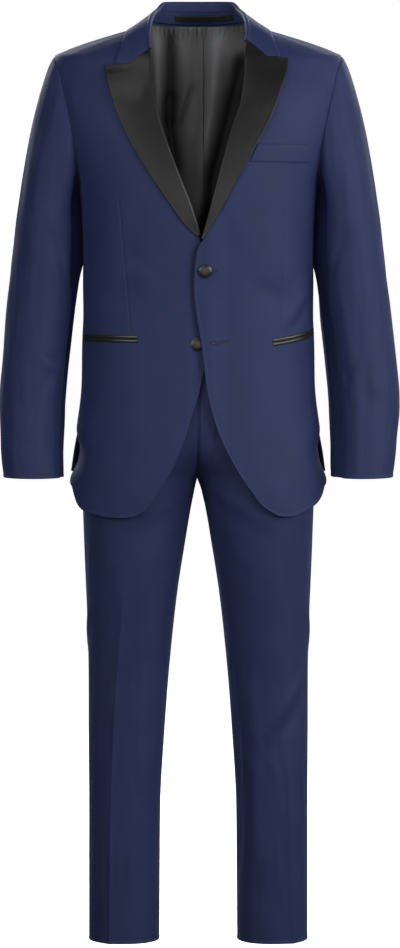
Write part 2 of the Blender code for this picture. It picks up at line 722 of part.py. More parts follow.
def leaf_points(station, side, start, out, drop, steps):
    """Places across the leaf: a soft curve behind, and flat along the gorge and notch in front."""
    height = LAPEL_LIE + SATIN / 2
    angle = math.radians(read(COLLAR, "leaf_angle", station))
    leaf_z = read(COLLAR, "leaf_z", station) - drop
    if station > 4 and drop > 0:
        angle = angle_at_x(front_face(angle, leaf_z + drop)[0], leaf_z)
    edge = lifted(front_face, angle, leaf_z, height)
    gorge = LEFT_GORGE if side > 0 else RIGHT_GORGE
    notch = LEFT_NOTCH if side > 0 else RIGHT_NOTCH
    corner = (edge[0], edge[2])
    s = np.linspace(0, 1, steps + 1)[1:]
    knee = 1 - 1 / steps
    x = np.interp(s, [0, knee, 1], [gorge[0], notch[0], corner[0]])
    z = np.interp(s, [0, knee, 1], [gorge[1], notch[1], corner[1]])
    flat = lifted(front_face, angle_at_x(x, z), z, height)
    s = s[:, None]
    bulge = (start + edge) / 2 + out * LEAF_BULGE
    curve = (1 - s) ** 2 * start + 2 * s * (1 - s) * bulge + s ** 2 * edge
    share = ease((station - 5.0) / 2.0)
    return curve * (1 - share) + flat * share


def fall_depth(station):
    """How far down inside the neck the fall reaches."""
    at = abs(station)
    return max(FALL_LEAST, FALL_INSIDE * (read(COLLAR, "fold_z", at) - read(COLLAR, "neck_z", at)))


def collar_section(station, side, leaf_steps=4):
    """Points across the fall: up the inside of the neck, over the fold, down to the leaf's edge."""
    centre, tip, out, drop = collar_station(abs(station), side)
    depth = fall_depth(station)
    points = [centre - out * FOLD_RADIUS - tip * (depth - FOLD_RADIUS)]
    for turn in (180, 135, 90, 45, 0):
        a = math.radians(turn)
        points.append(centre + out * FOLD_RADIUS * math.cos(a) + tip * FOLD_RADIUS * math.sin(a))
    points.extend(leaf_points(abs(station), side, points[-1], out, drop, leaf_steps))
    points = np.array(points)
    if side < 0:
        points[:, 0] *= -1
    return points


def make_collar(navy):
    """The fall, from one gorge round the neck to the other."""
    stations = np.concatenate([-np.linspace(GORGE_END, 0, 15)[:-1], np.linspace(0, GORGE_END, 15)])
    sections = [collar_section(s, -1 if s < 0 else 1) for s in stations]
    grid = np.stack(sections, axis=1)
    shell("collar", grid[::-1], SATIN, navy)


def stand_section(station, side, rows=4):
    """Points up the collar stand, from the neck seam to the fall."""
    at = abs(station)
    centre, tip, out, drop = collar_station(at, side)
    top = centre - out * FOLD_RADIUS - tip * (fall_depth(at) - FOLD_RADIUS + 0.9)
    neck_z = read(COLLAR, "neck_z", at) - drop
    seam = lifted(front_face, math.radians(read(COLLAR, "neck_angle", at)), neck_z, -0.9)
    foot = seam + unit(top - seam) * 2.0
    points = np.array([foot + (top - foot) * s for s in np.linspace(0, 1, rows)])
    if side < 0:
        points[:, 0] *= -1
    return points


def make_stand(navy, satin):
    """The stand inside the neck, and the plain hanger strip on it."""
    stations = np.concatenate([np.linspace(-4.0, LOOP[0], 5), np.linspace(*LOOP, 8)[1:],
                               np.linspace(LOOP[1], 4.0, 4)[1:]])
    grid = np.stack([stand_section(s, -1 if s < 0 else 1) for s in stations], axis=1)[::-1]
    shell("collar_stand", grid, CLOTH, navy)
    inward = grid_normals(grid)
    if inward[0, 8, 1] > 0:
        inward = -inward
    strip = (grid + inward * (CLOTH / 2 + 1.0))[1:3, 11:3:-1]
    away = inward[1:3, 11:3:-1]
    wall("hanger_loop", strip + away * LOOP_WALL, satin, strip)


def lapel_places(edge, outline, notch, gorge, columns):
    """Places of a lapel: the roll line, the outer edge, the gorge and the tip of the opening."""
    tip_z = outline[-1][1] + 1.0
    z = np.array([tip_z] + [z for z in EDGE_LEVELS if tip_z + 7 < z] + [gorge[1]])
    inner = np.stack([edge_x(edge, z), z], axis=1)
    inner[-1, 0] = gorge[0]
    outer = along(outline[::-1], lengths(inner))
    first = max(2, round(columns * 0.45))
    top = np.concatenate([np.linspace(gorge, notch, first + 1),
                          np.linspace(notch, outline[0], columns - first + 1)[1:]])
    bottom = np.linspace(inner[0], outer[0], columns + 1)
    grid = fill(inner / [ARC, 1], outer / [ARC, 1], bottom / [ARC, 1], top / [ARC, 1])
    return grid * [ARC, 1]


def make_lapel(name, face, edge, outline, notch, gorge, satin, side, columns=6):
    """A satin lapel: it lies on the front and rolls round the front's edge to its inside."""
    gorge = (gorge[0], gorge[1] - GORGE_GAP - ROLL_GAP)
    notch = (notch[0], notch[1] - GORGE_GAP)
    places = lapel_places(edge, outline, notch, gorge, columns)
    angle = angle_at_x(places[..., 0], places[..., 1])
    z = places[..., 1]
    flat = LAPEL_LIE + SATIN / 2
    u = np.linspace(0, 1, columns + 1)[None, :] + 0 * z
    near = np.exp(-(u / 0.35) ** 2)
    middle = lifted(face, angle, z, flat + (ROLL_RADIUS - ROLL_DROP - flat) * near + 0.8 * u * (1 - u))
    base = face(angle[:, 0], z[:, 0])
    up = unit(np.gradient(base, axis=0))
    out = normal(face, angle[:, 0], z[:, 0])
    off = unit(np.cross(up, out))
    off = np.where((np.sum(off * (middle[:, 1] - middle[:, 0]), axis=1) > 0)[:, None], -off, off)
    taper = ease(np.linspace(0, 1, len(z)) * 6)[:, None] * 0.45 + 0.55
    centre = base - off * ROLL_RADIUS - out * ROLL_DROP
    radius = ROLL_RADIUS
    turns = [centre - off * ROLL_UNDER * taper - out * radius]
    for a in (-90, -45, 0, 45):
        turn = math.radians(a)
        turns.append(centre + off * radius * math.cos(turn) + out * radius * math.sin(turn))
    middle[:, 0] = centre + out * radius
    grid = np.concatenate([np.stack(turns, axis=1), middle], axis=1)
    if side < 0:
        grid = mirror(grid)
    shell(name, grid, SATIN, satin)


def make_lapels(satin):
    """The two peaked lapels."""
    make_lapel("lapel_left", lapped_face, LEFT_EDGE, LEFT_LAPEL, LEFT_NOTCH, LEFT_GORGE, satin, 1)
    make_lapel("lapel_right", front_face, RIGHT_EDGE, RIGHT_LAPEL, RIGHT_NOTCH, RIGHT_GORGE,
               satin, -1)


# ---------------------------------------------------------------- lining

def make_lining(lining):
    """The back lining: two halves that meet beside the middle, with soft folds."""
    for side, name in ((1, "lining_left"), (-1, "lining_right")):
        places = back_places()[1:]
        places[..., 1] -= LINING_DROP * ease((places[..., 1] + 25) / 20)
        seam = angle_at_x(LINING_SEAM_X, places[:, -1, 1])
        if side > 0:
            places[:, -1, 0] = math.pi - seam
        else:
            beyond = places[:, -1:].copy()
            beyond[:, 0, 0] = math.pi + seam
            places = np.concatenate([places, beyond], axis=1)
        places[:, 0, 0] += 0.02
        x = torso(places[..., 0], places[..., 1])[..., 0] * side
        fade = ease((x + 90) / 30) * ease((90 - x) / 30) * ease((-places[..., 1] - 5) / 40)
        rise = np.maximum(folds(LINING_FOLDS, x, places[..., 1]) + 1.5, 0.0) * fade
        out = normal(torso, places[..., 0], places[..., 1])
        outer = shrink(torso(places[..., 0], places[..., 1]), "r")
        outer = outer - out * (CLOTH + LINING_GAP + rise)[..., None]
        inner = outer - out * LINING
        if side < 0:
            outer, inner = mirror(outer), mirror(inner)
        wall(name, outer, lining, inner)


# ---------------------------------------------------------------- small pieces of the front

def strip_on(face, low, high, side, thickness, lift):
    """A strip lying on a face between two rows of (x, z) points, as its outer grid."""
    places = np.stack([np.asarray(low, dtype=float), np.asarray(high, dtype=float)])
    angle = angle_at_x(places[..., 0], places[..., 1])
    outer = lifted(face, angle, places[..., 1], lift + thickness)
    inner = lifted(face, angle, places[..., 1], np.full(angle.shape, lift))
    return (outer, inner) if side > 0 else (mirror(outer), mirror(inner))


def make_pocket(name, ends, side, satin):
    """The two satin lips of a hip pocket."""
    face = lapped_face if side > 0 else front_face
    line = np.linspace(ends[0], ends[1], 12)
    angles = angle_at_x(line[[0, -1], 0], line[[0, -1], 1])
    spread = np.linspace(angles[0], angles[1], 12)
    z = np.interp(spread, angles, [ends[0][1], ends[1][1]])
    for part, low, high in (("upper", JET_SLIT / 2, JET_SLIT / 2 + JET_HEIGHT),
                            ("lower", -JET_SLIT / 2 - JET_HEIGHT, -JET_SLIT / 2)):
        rows = ((low, JET_EDGE), (low + 1.2, SATIN), (high - 1.2, SATIN), (high, JET_EDGE))
        outer = np.stack([lifted(face, spread, z + inset, np.full(12, LIE + thickness))
                          for inset, thickness in rows])
        inner = np.stack([lifted(face, spread, z + inset, np.full(12, LIE)) for inset, _ in rows])
        if side < 0:
            outer, inner = mirror(outer), mirror(inner)
        wall("jet_" + part + "_" + name, outer, satin, inner)


def make_welt(navy):
    """The breast pocket's welt on the left front."""
    low = np.linspace(WELT[2], WELT[3], 9)
    high = np.linspace(WELT[0], WELT[1], 9)
    outer, inner = strip_on(lapped_face, low, high, 1, CLOTH, LIE)
    wall("breast_welt", outer, navy, inner)


def make_button(name, face, place, satin, steps=18):
    """A domed button covered in satin, lying against the front."""
    r = BUTTON_RADIUS
    profile = [(0.0, 0.35), (0.85 * r, 0.35), (r, 1.1), (0.94 * r, 1.8), (0.76 * r, 2.6),
               (0.45 * r, 3.5), (0.0, 4.0)]
    x, z = place
    angle = angle_at_x(x, z)
    base = face(angle, z)
    out = normal(face, angle, z)
    side = unit(np.cross(out, np.array([0.0, 0.0, 1.0])))
    up = np.cross(side, out)
    points = [base + out * profile[0][1]]
    for radius, height in profile[1:-1]:
        for k in range(steps):
            a = 2 * math.pi * k / steps
            points.append(base + out * height + (side * math.cos(a) + up * math.sin(a)) * radius)
    points.append(base + out * profile[-1][1])
    faces = []
    rings = len(profile) - 2
    for k in range(steps):
        n = (k + 1) % steps
        faces.append((0, 1 + k, 1 + n))
        for j in range(rings - 1):
            a, b = 1 + j * steps + k, 1 + j * steps + n
            c, d = b + steps, a + steps
            faces.append((a, d, c, b))
        top = 1 + (rings - 1) * steps
        faces.append((top + k, len(points) - 1, top + n))
    made = add_object(name, points, faces, satin)
    outward(made)
    return made


def outward(made):
    """Turn every face of a closed piece outwards."""
    mesh = made.data
    mesh.calc_loop_triangles()
    volume = 0.0
    for tri in mesh.loop_triangles:
        a, b, c = (mesh.vertices[i].co for i in tri.vertices)
        volume += a.dot(b.cross(c))
    if volume < 0:
        mesh.flip_normals()


# ---------------------------------------------------------------- trousers

def leg(t, z, side):
    """Outer face of one trouser leg, on +X; t is 0 at the leg's front and 90 degrees outside."""
    t, z = np.broadcast_arrays(np.asarray(t, dtype=float), np.asarray(z, dtype=float))
    n = TROUSER_SQUARE
    s, c = np.sin(t), np.cos(t)
    radius = (np.abs(s) ** n + np.abs(c) ** n) ** (-1 / n)
    depth = np.where(c > 0, read(TROUSERS, "front", z), read(TROUSERS, "back", z))
    width = read(TROUSERS, "width", z)
    crease = np.radians(read(CREASES, "left" if side > 0 else "right", z))
    pressed = ease((-z - 520) / 150) * CREASE_HEIGHT
    rise = 0.0 * t
    for place in (crease, crease + math.pi):
        gap = np.abs(np.angle(np.exp(1j * (t - place)))) * 70.0
        rise = rise + pressed * np.exp(-gap / CREASE_WIDTH)
    low = ease((-z - 690) / 30)
    rise = rise + folds(TROUSER_FOLDS, t * ARC, z) * low * ease((HEM_Z + 1425 + 1400 + z) / 60)
    out = unit(np.stack([s / width, -c / depth], axis=-1))
    x = read(TROUSERS, "x", z) + width * s * radius + out[..., 0] * rise
    y = -depth * c * radius + out[..., 1] * rise
    return np.stack([x, y, z], axis=-1)


def crotch_angle(z):
    """Angle at which a leg's section meets the middle, or the inseam below the crotch."""
    q = np.clip((read(TROUSERS, "x", z) - 0.25) / read(TROUSERS, "width", z), 0, 1)
    n = TROUSER_SQUARE
    met = np.arctan2(q, (1 - q ** n) ** (1 / n))
    return np.where(z <= CROTCH_Z, math.pi / 2, met)


def trouser_grids(side, front, levels):
    """Outer and inner faces of one trouser panel, with a column on its crease."""
    z = np.asarray(levels, dtype=float)
    inside = crotch_angle(z)
    crease = np.radians(read(CREASES, "left" if side > 0 else "right", z))
    halves = np.linspace(0, 1, 5)
    if front:
        start, middle, end = -inside, crease, np.full(len(z), math.pi / 2)
    else:
        start, middle, end = np.full(len(z), math.pi / 2), math.pi + crease, math.pi + inside
        middle = np.minimum(middle, (start + end) / 2 + 0.9)
    middle = np.clip(middle, start + 0.15, end - 0.15)
    left = start[:, None] + (middle - start)[:, None] * halves
    right = middle[:, None] + (end - middle)[:, None] * halves[1:]
    t = np.concatenate([left, right], axis=1)
    return leg_wall(t, z[:, None] + 0 * t, side, "lrt")


def leg_wall(t, z, side, edges):
    """Outer and inner faces of cloth on a leg, kept on its own side of the middle."""
    dt, dz = 0.002, 0.2
    out = unit(np.cross(leg(t + dt, z, side) - leg(t - dt, z, side),
                        leg(t, z + dz, side) - leg(t, z - dz, side)))
    outer = shrink(leg(t, z, side), edges)
    inner = outer - out * CLOTH
    outer[..., 0] = np.maximum(outer[..., 0], 0.2)
    inner[..., 0] = np.maximum(inner[..., 0], 0.2)
    return outer, inner


def make_trousers(navy):
    """A front and a back panel for each leg, and the band above them."""
    top = WAIST_Z - BAND_HEIGHT
    levels = [HEM_Z] + TROUSER_LEVELS[::-1] + [top]
    for side, word in ((1, "left"), (-1, "right")):
        for front in (True, False):
            outer, inner = trouser_grids(side, front, levels)
            if side < 0:
                outer, inner = mirror(outer), mirror(inner)
            part = "front" if front else "back"
            wall("trousers_" + part + "_" + word, outer, navy, inner)
        t = np.linspace(0, math.pi, 15)
        z = np.array([top, WAIST_Z])
        outer, inner = leg_wall(t[None, :] + 0 * z[:, None], z[:, None] + 0 * t, side, "lrb")
        if side < 0:
            outer, inner = mirror(outer), mirror(inner)
        wall("waistband_" + word, outer, navy, inner)


def make_fly(navy):
    """The fly piece on the left front, with its free edge beside the middle."""
    z = np.array([FLY_BOTTOM, -668, -656, -640, -605, -570, -535, WAIST_Z - BAND_HEIGHT - 2])
    rise = (z - FLY_BOTTOM) / (z[-1] - FLY_BOTTOM)
    width = FLY_WIDTH * np.minimum(1.0, 0.25 + 1.6 * rise) ** 0.7
    x = FLY_EDGE + width[:, None] * np.linspace(0, 1, 4)
    q = np.clip((x - read(TROUSERS, "x", z)[:, None]) / read(TROUSERS, "width", z)[:, None], -1, 1)
    t = np.sign(q) * np.arctan2(np.abs(q), (1 - np.abs(q) ** TROUSER_SQUARE) ** (1 / TROUSER_SQUARE))
    base = leg(t, z[:, None] + 0 * t, 1)
    away = grid_normals(base)
    wall("fly", base + away * (LIE + CLOTH), navy, base + away * LIE)


# ---------------------------------------------------------------- the whole suit

def main():
    """Build every piece."""
    for old in list(bpy.data.objects):
        bpy.data.objects.remove(old, do_unlink=True)
    navy = material("navy_wool", NAVY, 0.62, 0.15)
    trousers = material("navy_wool_trousers", NAVY_TROUSERS, 0.66, 0.12)
    satin = material("black_satin", BLACK_SATIN, 0.32)
    lining = material("black_lining", BLACK_LINING, 0.38)
    make_fronts(navy)
    make_sides(navy)
    make_backs(navy)
    make_sleeves(navy)
    make_collar(navy)
    make_stand(navy, satin)
    make_lapels(satin)
    make_lining(lining)
    make_pocket("left", LEFT_POCKET, 1, satin)
    make_pocket("right", RIGHT_POCKET, -1, satin)
    make_welt(navy)
    make_button("button_upper", lapped_face, UPPER_BUTTON, satin)
    make_button("button_lower", front_face, LOWER_BUTTON, satin)
    make_trousers(trousers)
    make_fly(trousers)


main()
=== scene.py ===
"""Looks of the tuxedo: every sewn piece again, finer, with its seams, creases, stitches and cloth.

Lengths are in millimetres, in the frame's own axes, and MM turns them into Blender's metres.
Left and right are the wearer's; a piece of the right side is built on the left and mirrored.
"""
import math

import bpy
import numpy as np
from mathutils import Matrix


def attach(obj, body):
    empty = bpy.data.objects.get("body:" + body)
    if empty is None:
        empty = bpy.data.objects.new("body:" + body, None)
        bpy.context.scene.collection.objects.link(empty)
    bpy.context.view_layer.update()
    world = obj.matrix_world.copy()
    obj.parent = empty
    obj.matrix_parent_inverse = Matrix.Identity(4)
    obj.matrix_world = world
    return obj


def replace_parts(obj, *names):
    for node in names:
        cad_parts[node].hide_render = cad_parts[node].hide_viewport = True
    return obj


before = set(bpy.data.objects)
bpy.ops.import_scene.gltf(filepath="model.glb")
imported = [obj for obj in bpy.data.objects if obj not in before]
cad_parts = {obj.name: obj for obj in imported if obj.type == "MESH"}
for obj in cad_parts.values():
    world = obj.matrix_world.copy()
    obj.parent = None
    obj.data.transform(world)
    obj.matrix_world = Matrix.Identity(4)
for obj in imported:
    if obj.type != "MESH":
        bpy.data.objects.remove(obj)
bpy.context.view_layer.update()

MM = 0.001
PI = math.pi
SIDES = ("left", "right")

# Cloth
CLOTH = 1.3
SATIN = 1.6
LINING = 1.0
LIE = 0.7            # height of a flat piece over the panel it lies on
LAPEL_LIE = 1.2
ARC = 130.0          # millimetres round the body for one radian, to measure along the cloth
FINE = 4             # parts that each step of a panel's outline is split into
ACROSS = 3.6         # spacing of a panel's points
UPWARD = 4.3
SEAM_DEPTH = 0.55
SEAM_ROLL = 0.22     # the seam's allowances swell the cloth beside it
SEAM_ALLOWANCE = 1.5
SEAM_TUCK = 0.005    # radians by which one panel reaches under its neighbour
TURN_ROLL = 0.35     # swelling beside a turned edge
TURN_DEPTH = 0.2
TURN_THICK = 0.8
PRESSED_DEPTH = 0.03 # groove of the sleeve's front seam, pressed flat
RIPPLE = 0.4
EDGE_REACH = 2.5     # how far a worn edge shows
FAR = 9.0            # distance from an edge at which no wear shows
FACING = 62.0        # width of the wool facing inside a front edge
# Distances of the first rows of points from a seam, a turned edge and a hidden edge.
MARGINS = {"seam": (0.06, 0.6, 1.3, 2.4, 4.2, 7.0),
           "pressed": (0.02, 0.10, 0.9, 2.6, 5.0),
           "edge": (0.65, 1.3, 2.3, 3.6, 4.8, 5.5, 6.3, 8.0),
           "hidden": (0.2, 3.0)}
PINNED = (-4.5, -2.2, -0.9, 0.0, 0.9, 2.2, 4.5)   # points beside a dart or a pressed crease
PIN_ROOM = 6.0

# Jacket
ARMHOLE_TOP = -48.0
ARMHOLE_BOTTOM = -243.0
ARMHOLE_FRONT = 62.0
ARMHOLE_BACK = 66.0
ARMHOLE_FULLNESS = 0.15
ARM_STEPS = 24
SIDE_STEP = 8
FRONT_NECK = 4       # steps of the neck seam and the shoulder seam on a front and a back panel
FRONT_SHOULDER = 8
BACK_NECK = 5
BACK_SHOULDER = 6
NECK_POINT_Z = 5.0
# How far each front stands off at the middle, and where and over what width this fades.
LAP = {"left": (5.8, 10.0, 40.0), "right": (-4.0, -6.0, 28.0)}
LAP_TOP = -270.0
LAP_TOP_FADE = 60.0
VENT_TOP = -620.0
VENT_SAG = -668.0    # height from which the front swings out to the flap again
VENT_RETURN = 40.0
VENT_PULL = {"left": 8.0, "right": 10.0}
VENT_FLARE = 1.5
DART_DEPTH = 0.8
ROLL_RADIUS = 2.4
ROLL_DROP = 0.5
ROLL_INSET = 3.8
ROLL_UNDER = 8.0
GORGE_GAP = 1.3
ROLL_GAP = 0.9
LAPEL_COLUMNS = 42
LAPEL_BEND = {"left": 1.0, "right": 2.4}   # a soft break across the lapel, below its peak
LAPEL_SPRING = 3.6   # the lapel's outer edge springs this much off the front

# Sleeve
BICEPS_Z = -300.0
CUFF_Z = -697.5
SLEEVE_OFFSET = 0.1
CAP_RUN = 200.0      # length given to the sleeve head in a sleeve's own rows
ALLOWANCE_DEPTH = 2.2
ALLOWANCE_REACH = 2.6

# Trousers
WAIST_Z = -462.0
BAND_Z = -500.0
KNEE_Z = -760.0
CROTCH_Z = -695.0
HEM_Z = -1425.0
TROUSER_SQUARE = 2.2
CREASE_HEIGHT = 4.0
CREASE_WIDTH = 9.0
CREASE_STARTS = {"left": 1040.0, "right": 770.0}   # depth at which a pressed crease begins to show
CREASE_FADE = 230.0
CREASE_COLUMN = 32
CENTRE = {"left": -2.0, "right": 0.2}   # how near the middle each half of the trousers reaches
CENTRE_TUCK = 0.013  # radians by which the left half reaches past the middle
FLY_EDGE = 4.3
FLY_WIDTH = 32.0
FLY_BOTTOM = -672.0


def table(columns, rows):
    """A small table: its columns by name, sorted by the first one."""
    rows = np.array(sorted(rows), dtype=float)
    return {name: rows[:, i] for i, name in enumerate(columns.split())}


# Level sections of the jacket: height, half width, depth before and behind the side line, and how
# square the section is (2 is an ellipse). Above the armhole the half width is the shoulder line.
TORSO = table("z width front back square", [
    (24, 40, 40, 66, 2),
    (5, 72, 52, 81, 2),
    (-6, 101.5, 60, 91, 2),
    (-17, 138.5, 68, 98, 2),
    (-30, 179.5, 77, 104, 2),
    (-42, 210.5, 84, 109, 2),
    (-48, 221.5, 88, 112, 2.05),
    (-70, 227, 98, 117, 2.1),
    (-93, 228, 107, 122, 2.2),
    (-131, 222, 117, 128, 2.3),
    (-192, 203, 126, 132, 2.4),
    (-243, 186, 129, 131, 2.4),
    (-300, 180, 127, 124, 2.4),
    (-375, 178.3, 122, 112, 2.4),
    (-425, 178.4, 120, 108, 2.4),
    (-500, 180.2, 121, 112, 2.4),
    (-555, 181.8, 123, 119, 2.4),
    (-612, 187.4, 125, 126, 2.4),
    (-650, 193, 126.5, 129, 2.4),
    (-700, 199.5, 127.5, 130, 2.4),
    (-760, 203, 128, 130, 2.4),
])

# Front edges, from the foot of the cutaway up, past the buttons and up the lapel's roll line.
EDGE = {
    "left": [(85, -718), (66, -691), (32, -625), (14, -561), (6, -496), (-6.5, -400), (-2, -344),
             (6, -323), (28, -242), (49, -163), (65, -113), (70, -71), (72, -24)],
    "right": [(66, -723), (48, -695), (26, -648), (11, -602), (-1.7, -562), (-12, -500),
              (-13, -390), (-6, -330), (6.7, -286), (34, -215), (58, -146), (70, -92), (73, -37)]}
EDGE_LEVELS = [-686, -642, -590, -535, -480, -428, -384, -348, -320, -294, -265, -234, -202, -170,
               -138, -108, -80, -52]
HEM = {
    "left": [(85, -718), (98, -735), (113, -746), (131, -753.5), (145, -753.5), (159, -749),
             (176, -741), (187, -732), (193, -721), (196.5, -708)],
    "right": [(66, -723), (77, -738), (92, -749), (104, -753.5), (122, -755), (140, -754.5),
              (160, -751), (178, -746), (187, -737), (193, -721), (196.5, -708)]}
DART = {"left": ((132, -260), (125, -474)), "right": ((122, -253), (103, -474))}

# The two long seams beside the side body, as depths before (-) and behind (+) the side line.
SIDE_SEAMS = table("z front_seam back_seam", [
    (-194, -57.7, 61.5),
    (-300, -42, 50),
    (-480, -27, 32),
    (-636, -25, 25),
    (-708, -25, 25),
])
SIDE_LEVELS = [-680, -636, -586, -534, -482, -430, -378, -328, -280, -235]
FRONT_SEAM_HEM = -708.0
BACK_SEAM_HEM = -692.0
CENTRE_BACK_HEM = -706.0

# Collar stations from the centre back to the gorge: where the neck seam, the fold and the leaf's
# edge lie (angles from the front centre), how far the fold leans to the front and how far it droops
# on the wearer's right.
COLLAR = table("station neck_angle neck_z fold_x fold_y fold_z leaf_angle leaf_z lean droop", [
    (0, 180, 1, 0, 74, 37, 180, -10, 0, 0),
    (1, 158, 1.5, 30, 70, 37, 158, -10.5, 0, 0),
    (2, 135, 3, 51.5, 57, 36.4, 137, -10.5, 4, 0),
    (3, 110, 4.5, 62.5, 30, 25.6, 115, -6.5, 12, 0),
    (4, 90, 5, 69, -4, 18, 90, -4.5, 25, 0),
    (5, 62, -5, 73, -39, 3, 48, -21, 45, 0.2),
    (6, 40, -18, 74, -57, -11, 37, -36, 65, 0.5),
    (7, 27.4, -26, 72, -69, -25, 33.2, -50.5, 80, 1),
])
NECK_POINT = 4       # station of the shoulder seam
GORGE_END = 7
DROOP = {"left": 0.0, "right": 12.0}
FOLD_AHEAD = 0.65
FOLD_RADIUS = 3.0
FALL_INSIDE = 0.42
FALL_LEAST = 3.5
STAND_BACK = 1.1     # the stand lies this much behind the fall's inner edge
LEAF_BULGE = 1.2
LEAF_SPRING = 1.0
LEAF_KNEE = 0.75     # share of the leaf's width at which the notch lies

# Lapels: the peak's tip and the outer edge down to the tip of the opening.
LAPEL = {
    "left": [(137, -54), (134, -72), (127, -92), (110, -140), (84, -189), (58, -238), (32, -286),
             (14, -317), (8, -327)],
    "right": [(142, -65), (138, -86), (123, -128), (102, -177), (74, -226), (42, -274), (18, -307),
              (7, -318), (2, -322)]}
NOTCH = {"left": (106.0, -50.0), "right": (103.5, -60.5)}
GORGE = {"left": (73.0, -24.5), "right": (73.5, -37.0)}

# Sleeve sections: height, middle, half width, half depth, and what the left one has more.
SLEEVE = table("z x y width depth extra", [
    (-300, 231.3, 2, 50.7, 68, 0),
    (-335, 233.2, 3, 52.6, 67, 0),
    (-369, 236, 3, 54.5, 66, 0),
    (-443, 245, 0, 53, 62, 0.5),
    (-518, 252, -6, 51.5, 57, 2),
    (-593, 257.5, -15, 50.5, 51, 2.2),
    (-649, 257.8, -24, 48.5, 46, 0.5),
    (-697.5, 255, -32, 46.5, 43, 0),
])

# Trouser sections: height, middle of the leg, half width, depth before and behind.
TROUSERS = table("z x width front back", [
    (-462, 0, 150, 97, 94),
    (-500, 2, 158, 103, 101),
    (-560, 16, 160, 110, 107),
    (-610, 40, 137, 113, 112),
    (-650, 62, 115.5, 114, 116.5),
    (-680, 81, 97.5, 112, 114.3),
    (-695, 90, 90, 111, 112.3),
    (-705, 91.5, 88.8, 110, 112),
    (-742, 95, 84.5, 106, 109),
    (-799, 98.9, 78.7, 97, 103),
    (-874, 103.3, 71.3, 86, 92),
    (-949, 106.2, 65.5, 75, 80),
    (-1024, 109.3, 61.7, 67, 70),
    (-1100, 112.1, 59, 62, 66),
    (-1214, 115, 55.6, 58, 62),
    (-1425, 116.1, 54.9, 57, 59),
])
# Angle of each leg's pressed crease, in degrees from its front.
CREASES = table("z left right", [
    (-500, 4, 4),
    (-695, 6, 4),
    (-900, 22, 10),
    (-1024, 24, 15.6),
    (-1133, 25, 18.6),
    (-1257, 27, 21),
    (-1425, 33, 22.5),
])

# Folds: a soft ridge (+) or trough (-) along a line from one place on the cloth to another.
# Angles are degrees round the piece, heights and sizes millimetres.
FOLD = "angle_a z_a angle_b z_b height width"
TORSO_FOLDS = table(FOLD, [
    (58, -300, 76, -440, -2.4, 15),
    (40, -330, 62, -470, 1.6, 18),
    (30, -400, 60, -450, -1.6, 14),
    (150, -150, 120, -330, -2, 22),
    (170, -360, 120, -400, 2.5, 20),
    (172, -420, 118, -455, -2.5, 16),
])
FRONT_CREASES = {"left": table(FOLD, [
    (44, -456, 60, -416, 2, 7),
    (49, -468, 68, -424, -1.6, 6),
    (42, -416, 60, -372, -0.8, 9),
    (20, -300, 34, -395, 0.8, 12),
    (12, -398, 30, -372, -0.5, 8),
    (30, -560, 40, -700, -0.9, 16),
    (52, -540, 58, -690, 0.9, 14),
    (34, -110, 52, -175, -0.7, 10),
]), "right": table(FOLD, [
    (50, -420, 62, -448, 1.2, 5),
    (46, -395, 60, -425, -1, 7),
    (56, -360, 70, -400, 0.9, 8),
    (14, -392, 34, -350, -0.8, 9),
    (22, -300, 30, -390, 0.8, 12),
    (26, -545, 34, -690, 1, 16),
    (44, -540, 54, -700, -1.1, 14),
    (36, -130, 50, -190, -0.7, 11),
])}
BACK_CREASES = {"left": table(FOLD, [
    (126, -300, 142, -350, -1.2, 9),
    (150, -95, 134, -150, 1.2, 11),
    (164, -470, 128, -500, 1.1, 10),
    (168, -540, 150, -680, -1.2, 16),
    (140, -560, 134, -680, 1, 13),
]), "right": table(FOLD, [
    (124, -320, 146, -365, -1.2, 10),
    (154, -85, 138, -160, 1.1, 12),
    (166, -486, 132, -520, 1.1, 11),
    (164, -560, 152, -690, -1.1, 15),
    (138, -570, 130, -690, 1, 12),
])}
SLEEVE_FOLDS = table(FOLD, [
    (60, -512, 140, -548, -1, 13),
    (20, -620, 125, -540, -1.1, 16),
    (70, -585, 150, -600, -0.8, 14),
    (100, -330, 150, -420, -3, 14),
    (-60, -480, -130, -520, -3, 13),
    (-60, -560, -140, -590, -3, 14),
])
SLEEVE_CREASES = {"left": table(FOLD, [
    (152, -205, 154, -395, -14, 42),
    (163, -420, 160, -710, -13, 50),
    (-146, -410, -146, -710, 12, 42),
    (110, -420, 104, -690, 2.6, 24),
    (-146, -262, -146, -372, 13, 46),
    (104, -528, 128, -546, -1.8, 5),
    (98, -548, 120, -566, 1.4, 7),
    (44, -408, 70, -470, -0.9, 10),
    (64, -121, 18, -101, -1.5, 4.5),
    (60, -132, 22, -112, 1, 6),
    (74, -169, 34, -157, -1.2, 4.5),
    (70, -180, 34, -168, 0.8, 6),
    (80, -212, 50, -204, -0.8, 6),
    (-70, -430, -110, -452, -1.2, 8),
    (-50, -250, -84, -300, -1, 10),
]), "right": table(FOLD, [
    (156, -205, 158, -395, -14, 38),
    (171, -420, 170, -700, -7, 26),
    (-150, -420, -150, -700, 5, 36),
    (-146, -262, -146, -372, 13, 46),
    (110, -511, 136, -517, -1.7, 4),
    (106, -522, 130, -530, 1.1, 6),
    (90, -620, 112, -548, -1.5, 9),
    (52, -300, 76, -380, 0.9, 13),
    (60, -652, 100, -640, -0.9, 9),
    (-66, -440, -112, -466, -1.2, 8),
    (-46, -240, -80, -296, -1, 10),
])}
TROUSER_FOLDS = table(FOLD, [
    (-75, -715, 10, -790, -1.2, 15),
    (-80, -760, -20, -850, -1, 16),
    (60, -900, 100, -960, 2, 16),
    (165, -720, 260, -800, -3.5, 18),
    (150, -930, 230, -985, -2.5, 16),
])
